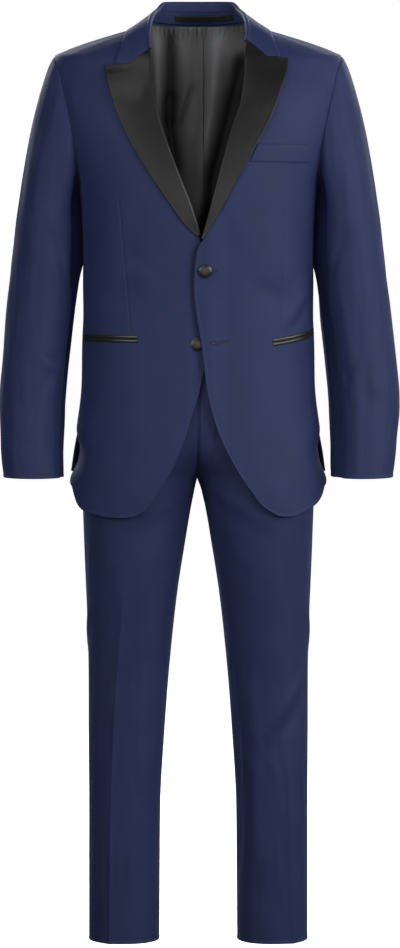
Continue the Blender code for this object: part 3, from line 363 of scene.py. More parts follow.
LEG_CREASES = {"left": table(FOLD, [
    (58, -1004, -14, -1098, 2.2, 13),
    (58, -1040, -14, -1134, -2.6, 15),
    (-60, -705, -20, -742, 1.2, 9),
    (-30, -1090, 8, -1160, 0.9, 12),
    (-44, -1180, -8, -1120, -0.8, 12),
    (70, -1320, 40, -1392, -0.9, 9),
    (-24, -1060, -26, -1300, 2.6, 26),
    (-60, -1060, -64, -1300, -3.6, 32),
    (120, -780, 150, -850, -1.2, 12),
    (200, -860, 236, -900, 1.2, 12),
]), "right": table(FOLD, [
    (-64, -712, -24, -750, 1.1, 9),
    (-36, -1000, 2, -1060, 0.8, 12),
    (-50, -1230, -14, -1180, -0.8, 12),
    (66, -1340, 36, -1396, -0.8, 9),
    (116, -800, 148, -870, -1.2, 12),
    (196, -850, 240, -896, 1.2, 12),
])}
LINING_FOLDS = table("x_a z_a x_b z_b height width", [
    (-92, -10, -88, -210, 3, 12),
    (-71, 0, -66, -110, 9, 8),
    (-66, -110, -58, -200, 5, 8),
    (-45, -5, -45, -106, -14, 9),
    (-45, -106, -47, -153, -17, 11),
    (-46, -153, -35, -230, -14, 9),
    (-20, 0, -12, -200, 4, 16),
    (-10, -96, -30, -150, -6, 4),
    (-14, -210, -8, -330, 4, 12),
    (32, 10, 25, -106, 14, 15),
    (25, -106, 6, -220, 13, 13),
    (6, -220, 4, -340, 5, 12),
    (72, -50, 57, -120, -20, 11),
    (56, -120, 28, -230, -22, 11),
    (27, -230, 12, -330, -20, 11),
    (78, -110, 68, -150, -10, 10),
    (70, -130, 46, -230, -13, 12),
])
PLEAT_OVER = 0.009
PLEAT_LAP = 2.6      # one half of the lining laps over the other
LINING_SEAM_X = 7.5
LINING_GAP = 1.0
LINING_DROP = 1.2
LINING_ACROSS = 2.8
# The lining follows the back smoothed over these heights, with these shares.
LINING_SMOOTH = ((-26.0, 0.14), (-13.0, 0.22), (0.0, 0.28), (13.0, 0.22), (26.0, 0.14))
LINING_FULL = 15.0   # the lining stands this far off the back between its folds
LINING_RIDGE = 28.0  # and this far at its highest ridge, where its colour gets the least painted shade and looks lit most

# Small things on the front
BUTTON_RADIUS = 10.8
BUTTON_STEPS = 60
# Profile of a button from its back: share of the radius, and height.
BUTTON = [(0.30, 0.35), (0.85, 0.35), (0.96, 0.65), (1.0, 1.2), (0.985, 1.7), (0.93, 2.2),
          (0.84, 2.7), (0.72, 3.15), (0.58, 3.5), (0.43, 3.78), (0.28, 3.95), (0.14, 4.05),
          (0.03, 4.08)]
UPPER_BUTTON = (10.7, -376.0)
LOWER_BUTTON = (-2.6, -488.0)
UPPER_HOLE = [(17.0, -376.0), (30.0, -375.2)]
LOWER_HOLE = [(22.0, -487.0), (45.0, -482.2)]
WELT = [(90.5, -183.5), (171.0, -185.0), (79.5, -209.5), (171.0, -212.0)]
WELT_ROWS, WELT_COLUMNS = 22, 60
POCKET = {"left": [(114.8, -486.0), (177.4, -471.4)], "right": [(93.5, -480.5), (176.6, -480.5)]}
JET_HEIGHT = 5.2
JET_SLIT = 0.8
JET_ROWS, JET_COLUMNS = 13, 70
LOOP = (-1.25, 2.2)
LOOP_WALL = 1.0
LOOP_COLUMNS = 61
THREAD_SIDES = 6
THREAD_END = np.array([(3, 2, 1, 0), (5, 4, 3, 0)])


# ---- curves and tables

def slopes(xs, ys):
    """Slopes of a cubic that never overshoots the given points."""
    step = np.diff(xs)
    rise = np.diff(ys) / step
    out = np.concatenate([rise[:1], 0 * rise[1:], rise[-1:]])
    i = np.flatnonzero(rise[:-1] * rise[1:] > 0)
    before, after = 2 * step[i + 1] + step[i], step[i + 1] + 2 * step[i]
    out[i + 1] = (before + after) / (before / rise[i] + after / rise[i + 1])
    return out


def interpolate(at, xs, ys):
    """Smooth value at each place, through the points (xs, ys)."""
    at = np.clip(np.asarray(at, dtype=float), xs[0], xs[-1])
    tangent = slopes(xs, ys)
    i = np.clip(np.searchsorted(xs, at, side="right") - 1, 0, len(xs) - 2)
    width = xs[i + 1] - xs[i]
    s = (at - xs[i]) / width
    return ((1 + 2 * s) * (1 - s) ** 2 * ys[i] + s * (1 - s) ** 2 * width * tangent[i]
            + s * s * (3 - 2 * s) * ys[i + 1] + s * s * (s - 1) * width * tangent[i + 1])


def read(tab, column, at):
    """A table's column at any place along its first column."""
    return interpolate(at, tab[next(iter(tab))], tab[column])


def run_of(points, axis):
    """Distance along each row (axis 1) or column (axis 0) of a grid of points."""
    step = np.linalg.norm(np.diff(points, axis=axis), axis=-1)
    start = np.zeros_like(np.take(step, [0], axis=axis))
    return np.concatenate([start, np.cumsum(step, axis=axis)], axis=axis)


def lengths(points):
    """Length along a list of points, from 0 to 1."""
    run = run_of(np.asarray(points, dtype=float), 0)
    return run / run[-1]


def along(points, fractions):
    """Points at fractions of the length of a smooth curve through the given points."""
    points = np.asarray(points, dtype=float)
    knots = lengths(points)
    fine = np.linspace(0, 1, 400)
    curve = np.stack([interpolate(fine, knots, c) for c in points.T], axis=1)
    run = lengths(curve)
    return np.stack([np.interp(fractions, run, c) for c in curve.T], axis=1)


def finer(levels):
    """A list of levels with each step split into FINE equal ones."""
    at = np.arange((len(levels) - 1) * FINE + 1) / FINE
    return np.interp(at, np.arange(len(levels)), np.asarray(levels, dtype=float))


def ease(x):
    """Soft step from 0 to 1."""
    x = np.clip(x, 0, 1)
    return x * x * (3 - 2 * x)


def bell(x):
    """1 at zero, falling away on both sides."""
    return np.exp(-np.asarray(x, dtype=float) ** 2)


def unit(vectors):
    """Vectors scaled to length 1."""
    size = np.linalg.norm(vectors, axis=-1, keepdims=True)
    return vectors / np.maximum(size, 1e-12)


def spread(a, b):
    """Two arrays of numbers, spread to the same shape."""
    return np.broadcast_arrays(np.asarray(a, dtype=float), np.asarray(b, dtype=float))


def pair(a, b):
    """Places from their angles and heights."""
    return np.stack(spread(a, b), axis=-1)


def wrapped(angle):
    """An angle between -pi and pi."""
    return np.angle(np.exp(1j * angle))


def folds(tab, across, z):
    """Height of the cloth's folds; `across` is measured in millimetres along the cloth."""
    scale = math.radians(ARC) if "angle_a" in tab else 1.0
    total = np.zeros(np.broadcast(across, z).shape)
    for ax, az, bx, bz, height, width in zip(*tab.values()):
        ax, dx, dz = ax * scale, (bx - ax) * scale, bz - az
        size = math.hypot(dx, dz)
        s = ((across - ax) * dx + (z - az) * dz) / size ** 2
        off = ((across - ax) * dz - (z - az) * dx) / size
        ends = ease(s * 2.2 + 0.6) * ease((1 - s) * 2.2 + 0.6)
        total = total + height * bell(off / width) * ends
    return total


# ---- the body of the jacket

def squared(q, n):
    """Where a rounded square of power n lies on one axis when it lies at q on the other."""
    return (1 - np.abs(q) ** n) ** (1 / n)


def section(tab, t, z, n, rise):
    """x and y on a level section at angle t, lifted outwards by `rise`."""
    s, c = np.sin(t), np.cos(t)
    radius = (np.abs(s) ** n + np.abs(c) ** n) ** (-1 / n)
    depth = np.where(c > 0, read(tab, "front", z), read(tab, "back", z))
    width = read(tab, "width", z)
    out = unit(np.stack([s / width, -c / depth], axis=-1)) * rise[..., None]
    return width * s * radius + out[..., 0], -depth * c * radius + out[..., 1]


def torso(t, z):
    """Outer face of the jacket's body: t runs from the front centre (0) round to the back (pi)."""
    t, z = spread(t, z)
    rise = folds(TORSO_FOLDS, np.abs(t) * ARC, z)
    return np.stack([*section(TORSO, t, z, read(TORSO, "square", z), rise), z], axis=-1)


def creased(base, t, z, tab):
    """The body with one panel's own creases."""
    rise = folds(tab, np.abs(t) * ARC, z)
    return base + np.stack([np.sin(t) * rise, -np.cos(t) * rise, 0 * rise], axis=-1)


def angle_at_x(x, z):
    """Angle of the place on the front that lies at x."""
    q = np.clip(np.asarray(x, dtype=float) / read(TORSO, "width", z), -0.9999, 0.9999)
    return np.arctan2(q, squared(q, read(TORSO, "square", z)))


def angle_at_y(y, z):
    """Angle of the place on the side that lies at depth y."""
    q = y / np.where(y < 0, read(TORSO, "front", z), read(TORSO, "back", z))
    return np.arctan2(squared(q, read(TORSO, "square", z)), -q)


def vented(t, z, pull):
    """The body beside the vents: a front (pull > 0) sags inside the back's flap and meets it."""
    base = torso(t, z)
    if pull > 0:
        sag = ease((VENT_TOP - z) / 38.0) * (1 - ease((VENT_SAG - z) / VENT_RETURN))
        base[..., 0] -= pull * sag * ease((base[..., 1] + 100.0) / 70.0)
    else:
        base[..., 0] += (VENT_FLARE * ease((VENT_TOP - z) / 45.0)
                         * ease((70.0 - base[..., 1]) / 45.0))
    return base


def front_face(side):
    """Body of a front and its side: the left one rides over the right one, which falls back."""
    lift, start, fade = LAP[side]

    def face(t, z):
        base = vented(t, z, VENT_PULL[side])
        near = 1 - ease((base[..., 0] - start) / fade)
        base[..., 1] -= lift * near * ease((LAP_TOP - z) / LAP_TOP_FADE)
        return creased(base, t, z, FRONT_CREASES[side])
    return face


def back_face(side):
    """Body that a back follows."""
    return lambda t, z: creased(vented(t, z, 0.0), t, z, BACK_CREASES[side])


FRONT = {side: front_face(side) for side in SIDES}


def normal(face, t, z):
    """Outward direction of a face."""
    dt, dz = 0.002, 0.2
    return unit(np.cross(face(t + dt, z) - face(t - dt, z), face(t, z + dz) - face(t, z - dz)))


def lifted(face, t, z, height):
    """Points at a height over a face."""
    t, z = np.asarray(t, dtype=float), np.asarray(z, dtype=float)
    return face(t, z) + normal(face, t, z) * np.asarray(height, dtype=float)[..., None]


def armhole(psi):
    """Angle and height of the armhole seam; psi is 0 at the shoulder and 90 degrees in front."""
    middle, half = (ARMHOLE_TOP + ARMHOLE_BOTTOM) / 2, (ARMHOLE_TOP - ARMHOLE_BOTTOM) / 2
    z = middle + half * np.cos(psi)
    reach = np.where(np.sin(psi) > 0, ARMHOLE_FRONT, ARMHOLE_BACK)
    y = -reach * np.sin(psi) * (1 - ARMHOLE_FULLNESS * np.cos(psi))
    return pair(angle_at_y(y, z), z)


def arm_angles(first, last):
    """Seam points of the armhole, counted in steps from the shoulder towards the front."""
    return np.arange(first * FINE, last * FINE + 1) * 2 * PI / (ARM_STEPS * FINE)


# ---- grids

def fill(left, right, bottom, top):
    """Grid of places between four edges; left and right run upwards, the others to the right."""
    run_l, run_r, run_b, run_t = (lengths(edge * [ARC, 1]) for edge in (left, right, bottom, top))
    v_mid, u_mid = (run_l + run_r)[:, None] / 2, (run_b + run_t) / 2
    u = ((1 - v_mid) * run_b + v_mid * run_t)[..., None]
    v = ((1 - u_mid) * run_l[:, None] + u_mid * run_r[:, None])[..., None]
    corners = ((1 - u) * (1 - v) * left[0] + u * (1 - v) * right[0]
               + (1 - u) * v * left[-1] + u * v * right[-1])
    return (1 - u) * left[:, None] + u * right[:, None] + (1 - v) * bottom + v * top - corners


def stops(total, first, last, spacing, pin):
    """Distances along each row at which its points lie, closer together beside edges and pins."""
    total = total[:, None]
    parts = [np.array(MARGINS[first]) + 0 * total]
    if pin is not None:
        low, high = MARGINS[first][-1] + PIN_ROOM, total - MARGINS[last][-1] - PIN_ROOM
        parts.append(np.clip(pin[:, None], low, high) + np.array(PINNED))
    parts.append(total - np.array(MARGINS[last])[::-1])
    made = [parts[0]]
    for before, after in zip(parts, parts[1:]):
        start, gap = before[:, -1:], after[:, :1] - before[:, -1:]
        count = max(2, round(float(gap.mean()) / spacing))
        made += [start + gap * np.linspace(0, 1, count + 1)[1:-1], after]
    return np.concatenate(made, axis=1)


def respaced(face, places, first, last, spacing, pin=None):
    """The places of a grid, each row spaced out again along the cloth."""
    run = run_of(face(places[..., 0], places[..., 1]), 1)
    where = stops(run[:, -1], first, last, spacing, pin and pin(places, run))
    return np.array([[np.interp(at, known, row[:, k]) for k in (0, 1)]
                     for at, known, row in zip(where, run, places)]).transpose(0, 2, 1)


def seam_line(gap):
    """Height of cloth beside a seam: a narrow groove, and a soft swelling next to it."""
    return SEAM_ROLL * bell((gap - 4.6) / 2.8) - SEAM_DEPTH * bell(gap / 0.95)


def turned_edge(gap):
    """Height of cloth beside a turned and pressed edge."""
    return TURN_ROLL * (1 - ease((gap - 3.6) / 2.4)) - TURN_DEPTH * bell((gap - 5.5) / 0.9)


def ripples(t, z):
    """Faint unevenness of hanging cloth."""
    x = np.abs(t) * ARC
    return RIPPLE * (np.sin(x / 9.0 + z / 31.0 + 0.4) * np.sin(z / 47.0 + 1.0)
                     + 0.8 * np.sin(x / 17.0 - z / 23.0) * np.sin(z / 71.0 + x / 60.0)
                     + 0.5 * np.sin(x / 5.5 + z / 80.0 + 2.0) * np.sin(z / 29.0 + 2.0))


def measured(grid):
    """Where each point of a grid lies on its cloth, and how far it is from the four edges."""
    across, up = run_of(grid, 1), run_of(grid, 0)
    return (np.stack([across, up], axis=-1),
            [across, across[:, -1:] - across, up, up[-1:] - up])


def panel(face, places, edges, pin=None, relief=None, wider=0.0):
    """Cloth that follows a face. `edges` names what its left, right, lower and upper edge are."""
    kinds = edges.split()
    places = respaced(face, places, *kinds[:2], ACROSS + wider * 0.6, pin).transpose(1, 0, 2)
    places = respaced(face, places, *kinds[2:], UPWARD + wider).transpose(1, 0, 2)
    t, z = places[..., 0], places[..., 1]
    base, out = face(t, z), normal(face, t, z)
    uv, gaps = measured(base)
    gaps = [gap + MARGINS[kind][0] for kind, gap in zip(kinds, gaps)]
    height = ripples(t, z) * ease(np.minimum.reduce(gaps) / 20.0)
    wall = np.full(t.shape, CLOTH)
    for kind, gap in zip(kinds, gaps):
        if kind == "seam":
            height += seam_line(gap)
            wall += SEAM_ALLOWANCE * (1 - ease((gap - 1.0) / 3.0))
        elif kind == "pressed":
            height -= PRESSED_DEPTH * bell(gap / 0.9)
        elif kind == "edge":
            height += turned_edge(gap)
            wall += TURN_THICK * (1 - ease((gap - 4.0) / 8.0))
    if relief:
        height += relief(t, z, gaps)
    outer = base + out * height[..., None]
    worn = [gap for kind, gap in zip(kinds, gaps) if kind != "pressed"]
    return {"outer": outer, "inner": outer - out * wall[..., None], "kinds": kinds, "uv": uv,
            "gap": np.minimum.reduce(worn), "gaps": gaps}


def grid_normals(grid):
    """Normals of a grid of points; columns run to the right and rows upwards, seen from outside."""
    return unit(np.cross(np.gradient(grid, axis=1), np.gradient(grid, axis=0)))


def sheet_of(grid, thickness, share=0.5):
    """Cloth along a grid, with this share of its wall outside the grid."""
    away = grid_normals(grid) * thickness
    uv, gaps = measured(grid)
    return {"outer": grid + away * share, "inner": grid - away * (1 - share),
            "kinds": ["edge"] * 4, "uv": uv, "gap": np.minimum.reduce(gaps), "gaps": gaps}


def laid(face, angle, z, height, under):
    """Cloth that lies on a face, from the height `under` up to `height`."""
    piece = sheet_of(lifted(face, angle, z, height), CLOTH, 0.0)
    piece["inner"] = lifted(face, angle, z, np.full(angle.shape, under))
    return piece


def mirrored(piece):
    """The same piece on the other side of the body."""
    made = {key: piece[key][:, ::-1] for key in ("outer", "inner", "uv", "gap")}
    made["outer"], made["inner"] = made["outer"] * [-1, 1, 1], made["inner"] * [-1, 1, 1]
    made["kinds"] = [piece["kinds"][i] for i in (1, 0, 2, 3)]
    made["gaps"] = [piece["gaps"][i][:, ::-1] for i in (1, 0, 2, 3)]
    return made


# ---- materials

def plug(tree, node, settings):
    """Give a node its settings (lower case) and its sockets' values or links."""
    for key, value in settings.items():
        if key.islower() and not key[1:].isdigit():
            setattr(node, key, value)
            continue
        socket = node.inputs[int(key[1:]) if key[1:].isdigit() else key.replace("_", " ")]
        if isinstance(value, bpy.types.NodeSocket):
            tree.links.new(value, socket)
        else:
            socket.default_value = value
    return node


def new_material(name):
    """A material, a function that adds a node to it, and one that fills in its shader."""
    mat = bpy.data.materials.new(name)
    mat.use_nodes = True
    tree = mat.node_tree
    return (mat, lambda kind, **given: plug(tree, tree.nodes.new("ShaderNode" + kind), given),
            lambda **given: plug(tree, tree.nodes["Principled BSDF"], given))


def cloth_material(name, dark, light, roughness, sheen, specular, twill=520.0, bump=0.35,
                   streak=0.5, worn=0.12, rough_spread=0.06, weave=1.0, painted_shade=None):
    """Woven cloth: a diagonal weave, yarn streaks, a slow change of shade and worn edges.

    With a dark colour given for painted shade, the attribute says instead how much painted shade
    the cloth gets, and mixes that colour in.
    """
    mat, add, finish = new_material(name)

    def more(value, share, base):
        return add("Math", operation="MULTIPLY_ADD", i0=value, i1=share, i2=base).outputs[0]

    place = add("UVMap", uv_map="cloth").outputs["UV"]
    lines = add("TexWave", Vector=place, Scale=twill, Distortion=0.8, Detail=1.0,
                bands_direction="DIAGONAL").outputs["Fac"]
    stretched = add("Mapping", Vector=place, Scale=(1400.0, 90.0, 1.0)).outputs["Vector"]
    yarn = add("TexNoise", Vector=stretched, Scale=1.0, Detail=2.0).outputs["Fac"]
    slow = add("TexNoise", Vector=place, Scale=14.0, Detail=3.0).outputs["Fac"]
    cloud = add("TexNoise", Vector=place, Scale=120.0, Detail=2.0).outputs["Fac"]
    total = add("Math", operation="MULTIPLY", i0=lines, i1=0.22 * weave).outputs[0]
    total = more(cloud, 0.22, more(slow, 0.75, more(yarn, streak, total)))
    share = add("MapRange", Value=total, From_Min=0.35, From_Max=1.3 + 0.2 * streak)
    edge = add("Attribute", attribute_name="edge").outputs["Fac"]
    colour = add("Mix", data_type="RGBA", i0=more(edge, worn, share.outputs["Result"]),
                 i6=(*dark, 1.0), i7=(*light, 1.0)).outputs[2]
    # Painted shade: the dark colour is mixed in as far as the attribute says.
    if painted_shade is not None:
        colour = add("Mix", data_type="RGBA", i0=edge, i6=colour, i7=(*painted_shade, 1.0)).outputs[2]
    rough = add("MapRange", Value=yarn, To_Min=roughness - rough_spread,
                To_Max=roughness + rough_spread).outputs["Result"]
    relief = add("Bump", Height=more(yarn, 0.6, lines), Strength=bump, Distance=0.00012)
    finish(Base_Color=colour, Roughness=rough, Normal=relief.outputs["Normal"], Metallic=0.0,
           Specular_IOR_Level=specular, Sheen_Weight=sheen, Sheen_Roughness=0.5,
           Sheen_Tint=(*[min(1.0, c * 9 + 0.12) for c in light], 1.0))
    return mat


def thread_material(name, colour, roughness):
    """Twisted thread."""
    mat, add, finish = new_material(name)
    place = add("TexCoord").outputs["Object"]
    twist = add("TexWave", Vector=place, Scale=900.0, Distortion=1.0,
                bands_direction="DIAGONAL").outputs["Fac"]
    shade = add("Mix", data_type="RGBA", i0=twist, i6=(*[c * 0.6 for c in colour], 1.0),
                i7=(*colour, 1.0)).outputs[2]
    relief = add("Bump", Height=twist, Strength=0.4, Distance=0.0001)
    finish(Base_Color=shade, Normal=relief.outputs["Normal"], Roughness=roughness)
    return mat


SATIN_WEAVE = {"twill": 900.0, "bump": 0.12, "streak": 0.35, "rough_spread": 0.04, "weave": 0.4}
LINING_WEAVE = {"twill": 800.0, "bump": 0.15, "streak": 0.6, "weave": 0.5}
WOOL = cloth_material("navy_wool", (0.0150, 0.0234, 0.0790), (0.0270, 0.0398, 0.1250), 0.64, 0.09,
                      0.28)
TROUSER_WOOL = cloth_material("navy_wool_trousers", (0.0170, 0.0245, 0.0790),
                              (0.0300, 0.0415, 0.1240), 0.66, 0.10, 0.24)
SATIN_CLOTH = cloth_material("black_satin", (0.0072, 0.0073, 0.0078), (0.0140, 0.0140, 0.0143),
                             0.36, 0.05, 0.40, worn=0.5, **SATIN_WEAVE)
SATIN_TRIM = cloth_material("black_satin_trim", (0.0100, 0.0100, 0.0090), (0.0210, 0.0200, 0.0170),
                            0.30, 0.05, 0.60, worn=0.6, **SATIN_WEAVE)
# Painted light and shade: this black lining's base colour is painted far lighter than black cloth,
# to stand in for the light reaching inside the neck, and its last colour is the painted shade of
# its fold valleys.
LIT_LINING_CLOTH = cloth_material("black_lining", (0.2500, 0.2530, 0.2600), (0.3700, 0.3730, 0.3830),
                              0.50, 0.05, 0.40, worn=0.0, painted_shade=(0.008, 0.008, 0.008),
                              **LINING_WEAVE)
# A darker copy of the same black lining, for the insides of the panels and sleeves, which lie in
# shade; it too is painted lighter than black cloth.
SHADED_INSIDE_CLOTH = cloth_material("black_body_lining", (0.0850, 0.0865, 0.0890),
                              (0.1500, 0.1515, 0.1560), 0.50, 0.05, 0.40, worn=0.3, **LINING_WEAVE)
NAVY_THREAD = thread_material("navy_thread", (0.020, 0.026, 0.070), 0.5)
BLACK_THREAD = thread_material("black_thread", (0.018, 0.018, 0.020), 0.45)
LINED_WOOL = [WOOL, SHADED_INSIDE_CLOTH]


# ---- meshes

def tube_faces(rings, steps):
    """Faces between rings of points that follow each other."""
    k = np.arange(steps)
    n = (k + 1) % steps
    first = np.arange(rings - 1)[:, None] * steps
    corners = [first + k, first + n, first + steps + n, first + steps + k]
    return np.stack(corners, axis=-1).reshape(-1, 4)


def make_mesh(name, points, faces, uv, mats, near=FAR, which=0):
    """One object from points in millimetres and four-cornered faces, fixed to the body."""
    mesh = bpy.data.meshes.new(name)
    faces = np.asarray(faces, dtype=np.int32)
    mesh.vertices.add(len(points))
    mesh.vertices.foreach_set("co", (np.asarray(points) * MM).astype(np.float32).ravel())
    mesh.loops.add(faces.size)
    mesh.loops.foreach_set("vertex_index", faces.ravel())
    mesh.polygons.add(len(faces))
    mesh.polygons.foreach_set("loop_start", np.arange(len(faces), dtype=np.int32) * 4)
    for mat in mats:
        mesh.materials.append(mat)
    mesh.polygons.foreach_set("material_index", np.full(len(faces), which, dtype=np.int32))
    mesh.update(calc_edges=True)
    layer = mesh.uv_layers.new(name="cloth")
    layer.data.foreach_set("uv", (np.asarray(uv) * MM)[faces.ravel()].astype(np.float32).ravel())
    # The edge attribute: wear along edges for most pieces; for the lining, its painted shade.
    worn = mesh.attributes.new("edge", "FLOAT", "POINT")
    near = np.full(len(points), near, dtype=float)
    worn.data.foreach_set("value", np.exp(-near / EDGE_REACH).astype(np.float32))
    mesh.validate()
    mesh.shade_smooth()
    made = bpy.data.objects.new(name, mesh)
    bpy.context.scene.collection.objects.link(made)
    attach(made, "root")
    return made


def cloth(name, piece, mats, inside=0):
    """A closed piece of cloth with rounded edges. `inside` picks the inner faces' material."""
    outer, inner = piece["outer"], piece["inner"]
    rows, columns = outer.shape[:2]
    count = rows * columns
    grid = np.arange(count).reshape(rows, columns)
    edges = ((2, grid[0]), (1, grid[1:, -1]), (3, grid[-1, -2::-1]), (0, grid[-2:0:-1, 0]))
    index = np.concatenate([part for _, part in edges])
    rounded = np.concatenate([np.full(len(part), piece["kinds"][k] == "edge")
                              for k, part in edges])[:, None]
    away = np.zeros_like(outer)
    away[0] += unit(outer[0] - outer[1])
    away[-1] += unit(outer[-1] - outer[-2])
    away[:, 0] += unit(outer[:, 0] - outer[:, 1])
    away[:, -1] += unit(outer[:, -1] - outer[:, -2])
    away = unit(away.reshape(-1, 3)[index])
    high, low = outer.reshape(-1, 3)[index], inner.reshape(-1, 3)[index]
    middle, half = (high + low) / 2, (high - low) / 2
    reach = np.where(rounded, np.linalg.norm(half, axis=1, keepdims=True) * 0.9, 0.0)
    rings = [middle + half * math.sin(a) + away * reach * math.cos(a)
             for a in np.radians((48, 0, -48))]
    points = np.concatenate([outer.reshape(-1, 3), inner.reshape(-1, 3)] + rings)
    a = grid[:-1, :-1].ravel()
    flat = np.stack([a, a + 1, a + columns + 1, a + columns], axis=1)
    size = len(index)
    loops = [index] + [2 * count + k * size + np.arange(size) for k in range(3)] + [index + count]
    sides = [np.stack([np.roll(a, -1), a, b, np.roll(b, -1)], axis=1)
             for a, b in zip(loops, loops[1:])]
    faces = np.concatenate([flat, flat[:, ::-1] + count] + sides)
    uv, near = piece["uv"].reshape(-1, 2), piece["gap"].ravel()
    which = np.zeros(len(faces), dtype=int)
    which[len(flat):2 * len(flat)] = inside
    return make_mesh(name, points, faces, np.concatenate([uv, uv] + [uv[index]] * 3), mats,
                     np.concatenate([near, near] + [near[index]] * 3), which)


def threads(name, paths, radius, mat):
    """Short threads joined in one mesh; each path is a list of points."""
    turn = 2 * PI * np.arange(THREAD_SIDES)[:, None] / THREAD_SIDES
    points, faces, uv = [], [], []
    first = 0
    for path in paths:
        path = np.asarray(path, dtype=float)
        run = unit(np.gradient(path, axis=0))
        side = unit(np.cross(run, [0.0, 1.0, 0.2]))
        up = np.cross(side, run)
        size = np.full((len(path), 1, 1), radius)
        size[[0, -1]] *= 0.45
        around = side[:, None] * np.cos(turn) + up[:, None] * np.sin(turn)
        points.append((path[:, None] + around * size).reshape(-1, 3))
        uv.append(np.stack(np.meshgrid(range(THREAD_SIDES), range(len(path))), axis=-1)
                  .reshape(-1, 2) * radius)
        last = first + len(points[-1]) - THREAD_SIDES
        faces += [tube_faces(len(path), THREAD_SIDES) + first, THREAD_END + first,
                  THREAD_END[:, ::-1] + last]
        first = last + THREAD_SIDES
    return make_mesh(name, np.concatenate(points), np.concatenate(faces), np.concatenate(uv), [mat])


def sewn(node, piece, mats, inside=0):
    """Fine cloth in the place of its CAD node, which it hides; a right-side piece is mirrored
    first.
    """
    if node.endswith("_right"):
        piece = mirrored(piece)
    made = cloth("cloth_" + node, piece, mats, inside(piece) if callable(inside) else inside)
    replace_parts(made, node)


# ---- jacket panels

def shoulder_seam(count):
    """Places from the neck point out to the shoulder point."""
    return pair(PI / 2, np.linspace(NECK_POINT_Z, ARMHOLE_TOP, count * FINE + 1))


def neck_places(first, last, count, side="left"):
    """Places along the neck seam between two collar stations."""
    station = np.linspace(first, last, count * FINE + 1)
    z = read(COLLAR, "neck_z", station) - DROOP[side] * read(COLLAR, "droop", station)
    return pair(np.radians(read(COLLAR, "neck_angle", station)), z)


def side_seam(column, hem_z):
    """Places up a long seam, from the hem to the armhole."""
    corner = armhole(arm_angles(SIDE_STEP, SIDE_STEP))[0, 1]
    z = finer([hem_z] + SIDE_LEVELS + [corner])
    return pair(angle_at_y(read(SIDE_SEAMS, column, z), z), z)


def edge_x(side, z):
    """Distance from the middle at which a front's edge passes a height."""
    curve = along(EDGE[side], np.linspace(0, 1, 400))
    return np.interp(z, curve[:, 1], curve[:, 0])


def front_places(side):
    """Grid of places of a front panel, its own side being positive."""
    edge = EDGE[side]
    outer = np.concatenate([side_seam("front_seam", FRONT_SEAM_HEM)[:-1],
                            armhole(arm_angles(0, SIDE_STEP)[::-1])])
    levels = finer([edge[0][1]] + EDGE_LEVELS + [edge[-1][1]])
    x = edge_x(side, levels) + ROLL_INSET * ease((levels - LAPEL[side][-1][1] + 20.0) / 20.0)
    inner = pair(angle_at_x(x, levels), levels)
    hem = along(HEM[side], np.linspace(0, 1, (FRONT_NECK + FRONT_SHOULDER) * FINE + 1))
    low = pair(angle_at_x(hem[:, 0], hem[:, 1]), hem[:, 1])
    high = np.concatenate([neck_places(GORGE_END, NECK_POINT, FRONT_NECK, side),
                           shoulder_seam(FRONT_SHOULDER)[1:]])
    ramp = np.clip((np.arange(len(inner)) - (len(inner) - 1 - FINE)) / FINE, 0, 1)[:, None]
    inner = inner + (high[0] - inner[-1]) * ramp
    low[-1], high[-1] = outer[0], outer[-1]
    return fill(inner, outer, low, high)


def dart(side):
    """Where a dart crosses each row of a front, and the height of its narrow groove."""
    (x_a, z_a), (x_b, z_b) = DART[side]

    def off(t, z):
        return torso(t, z)[..., 0] - (x_a + (x_b - x_a) / (z_b - z_a) * (z - z_a))

    def pin(places, run):
        away = off(places[..., 0], places[..., 1])
        share = np.array([np.interp(0.0, *row) for row in zip(away, run)]) / run[:, -1]
        z = np.array([np.interp(0.0, *row) for row in zip(away, places[..., 1])])
        rows = np.arange(len(run))
        near = (z > z_b - 20) & (z < z_a + 30)
        return np.interp(rows, rows[near], share[near]) * run[:, -1]

    def relief(t, z, gaps):
        within = ease((z_a - z) / 25.0) * ease((z - z_b) / 10.0)
        return within * (0.25 * bell(off(t, z) / 7.0) - DART_DEPTH * bell(off(t, z) / 0.9))
    return pin, relief


def faced(piece):
    """Inner faces of a front: wool facing beside the front edge, lining behind it."""
    gap = piece["gaps"][0 if piece["kinds"][0] == "edge" else 1]
    cell = (gap[:-1, :-1] + gap[1:, 1:]) / 2
    return np.where(cell.ravel() < FACING, 0, 1)


def make_fronts():
    """The two front panels; the left one laps over the right one."""
    for side, under in zip(SIDES, ("jacket_front_right", "trousers_front_right")):
        piece = panel(FRONT[side], front_places(side), "edge seam edge seam", *dart(side))
        sewn("jacket_front_" + side, piece, LINED_WOOL, faced)


def make_sides():
    """The two side bodies, under the arms."""
    front = side_seam("front_seam", FRONT_SEAM_HEM)
    back = side_seam("back_seam", BACK_SEAM_HEM)
    top = armhole(arm_angles(SIDE_STEP, ARM_STEPS - SIDE_STEP))
    front[-1], back[-1] = top[0], top[-1]
    share = np.linspace(0, 1, len(top))
    low = pair(front[0, 0] + (back[0, 0] - front[0, 0]) * share,
               FRONT_SEAM_HEM + (BACK_SEAM_HEM - FRONT_SEAM_HEM) * share ** 0.7)
    places = fill(front, back, low, top)
    places[:, 0, 0] -= SEAM_TUCK
    places[:, -1, 0] += SEAM_TUCK
    for side in SIDES:
        sewn("jacket_side_" + side, panel(FRONT[side], places, "seam seam edge seam"), LINED_WOOL,
             1)


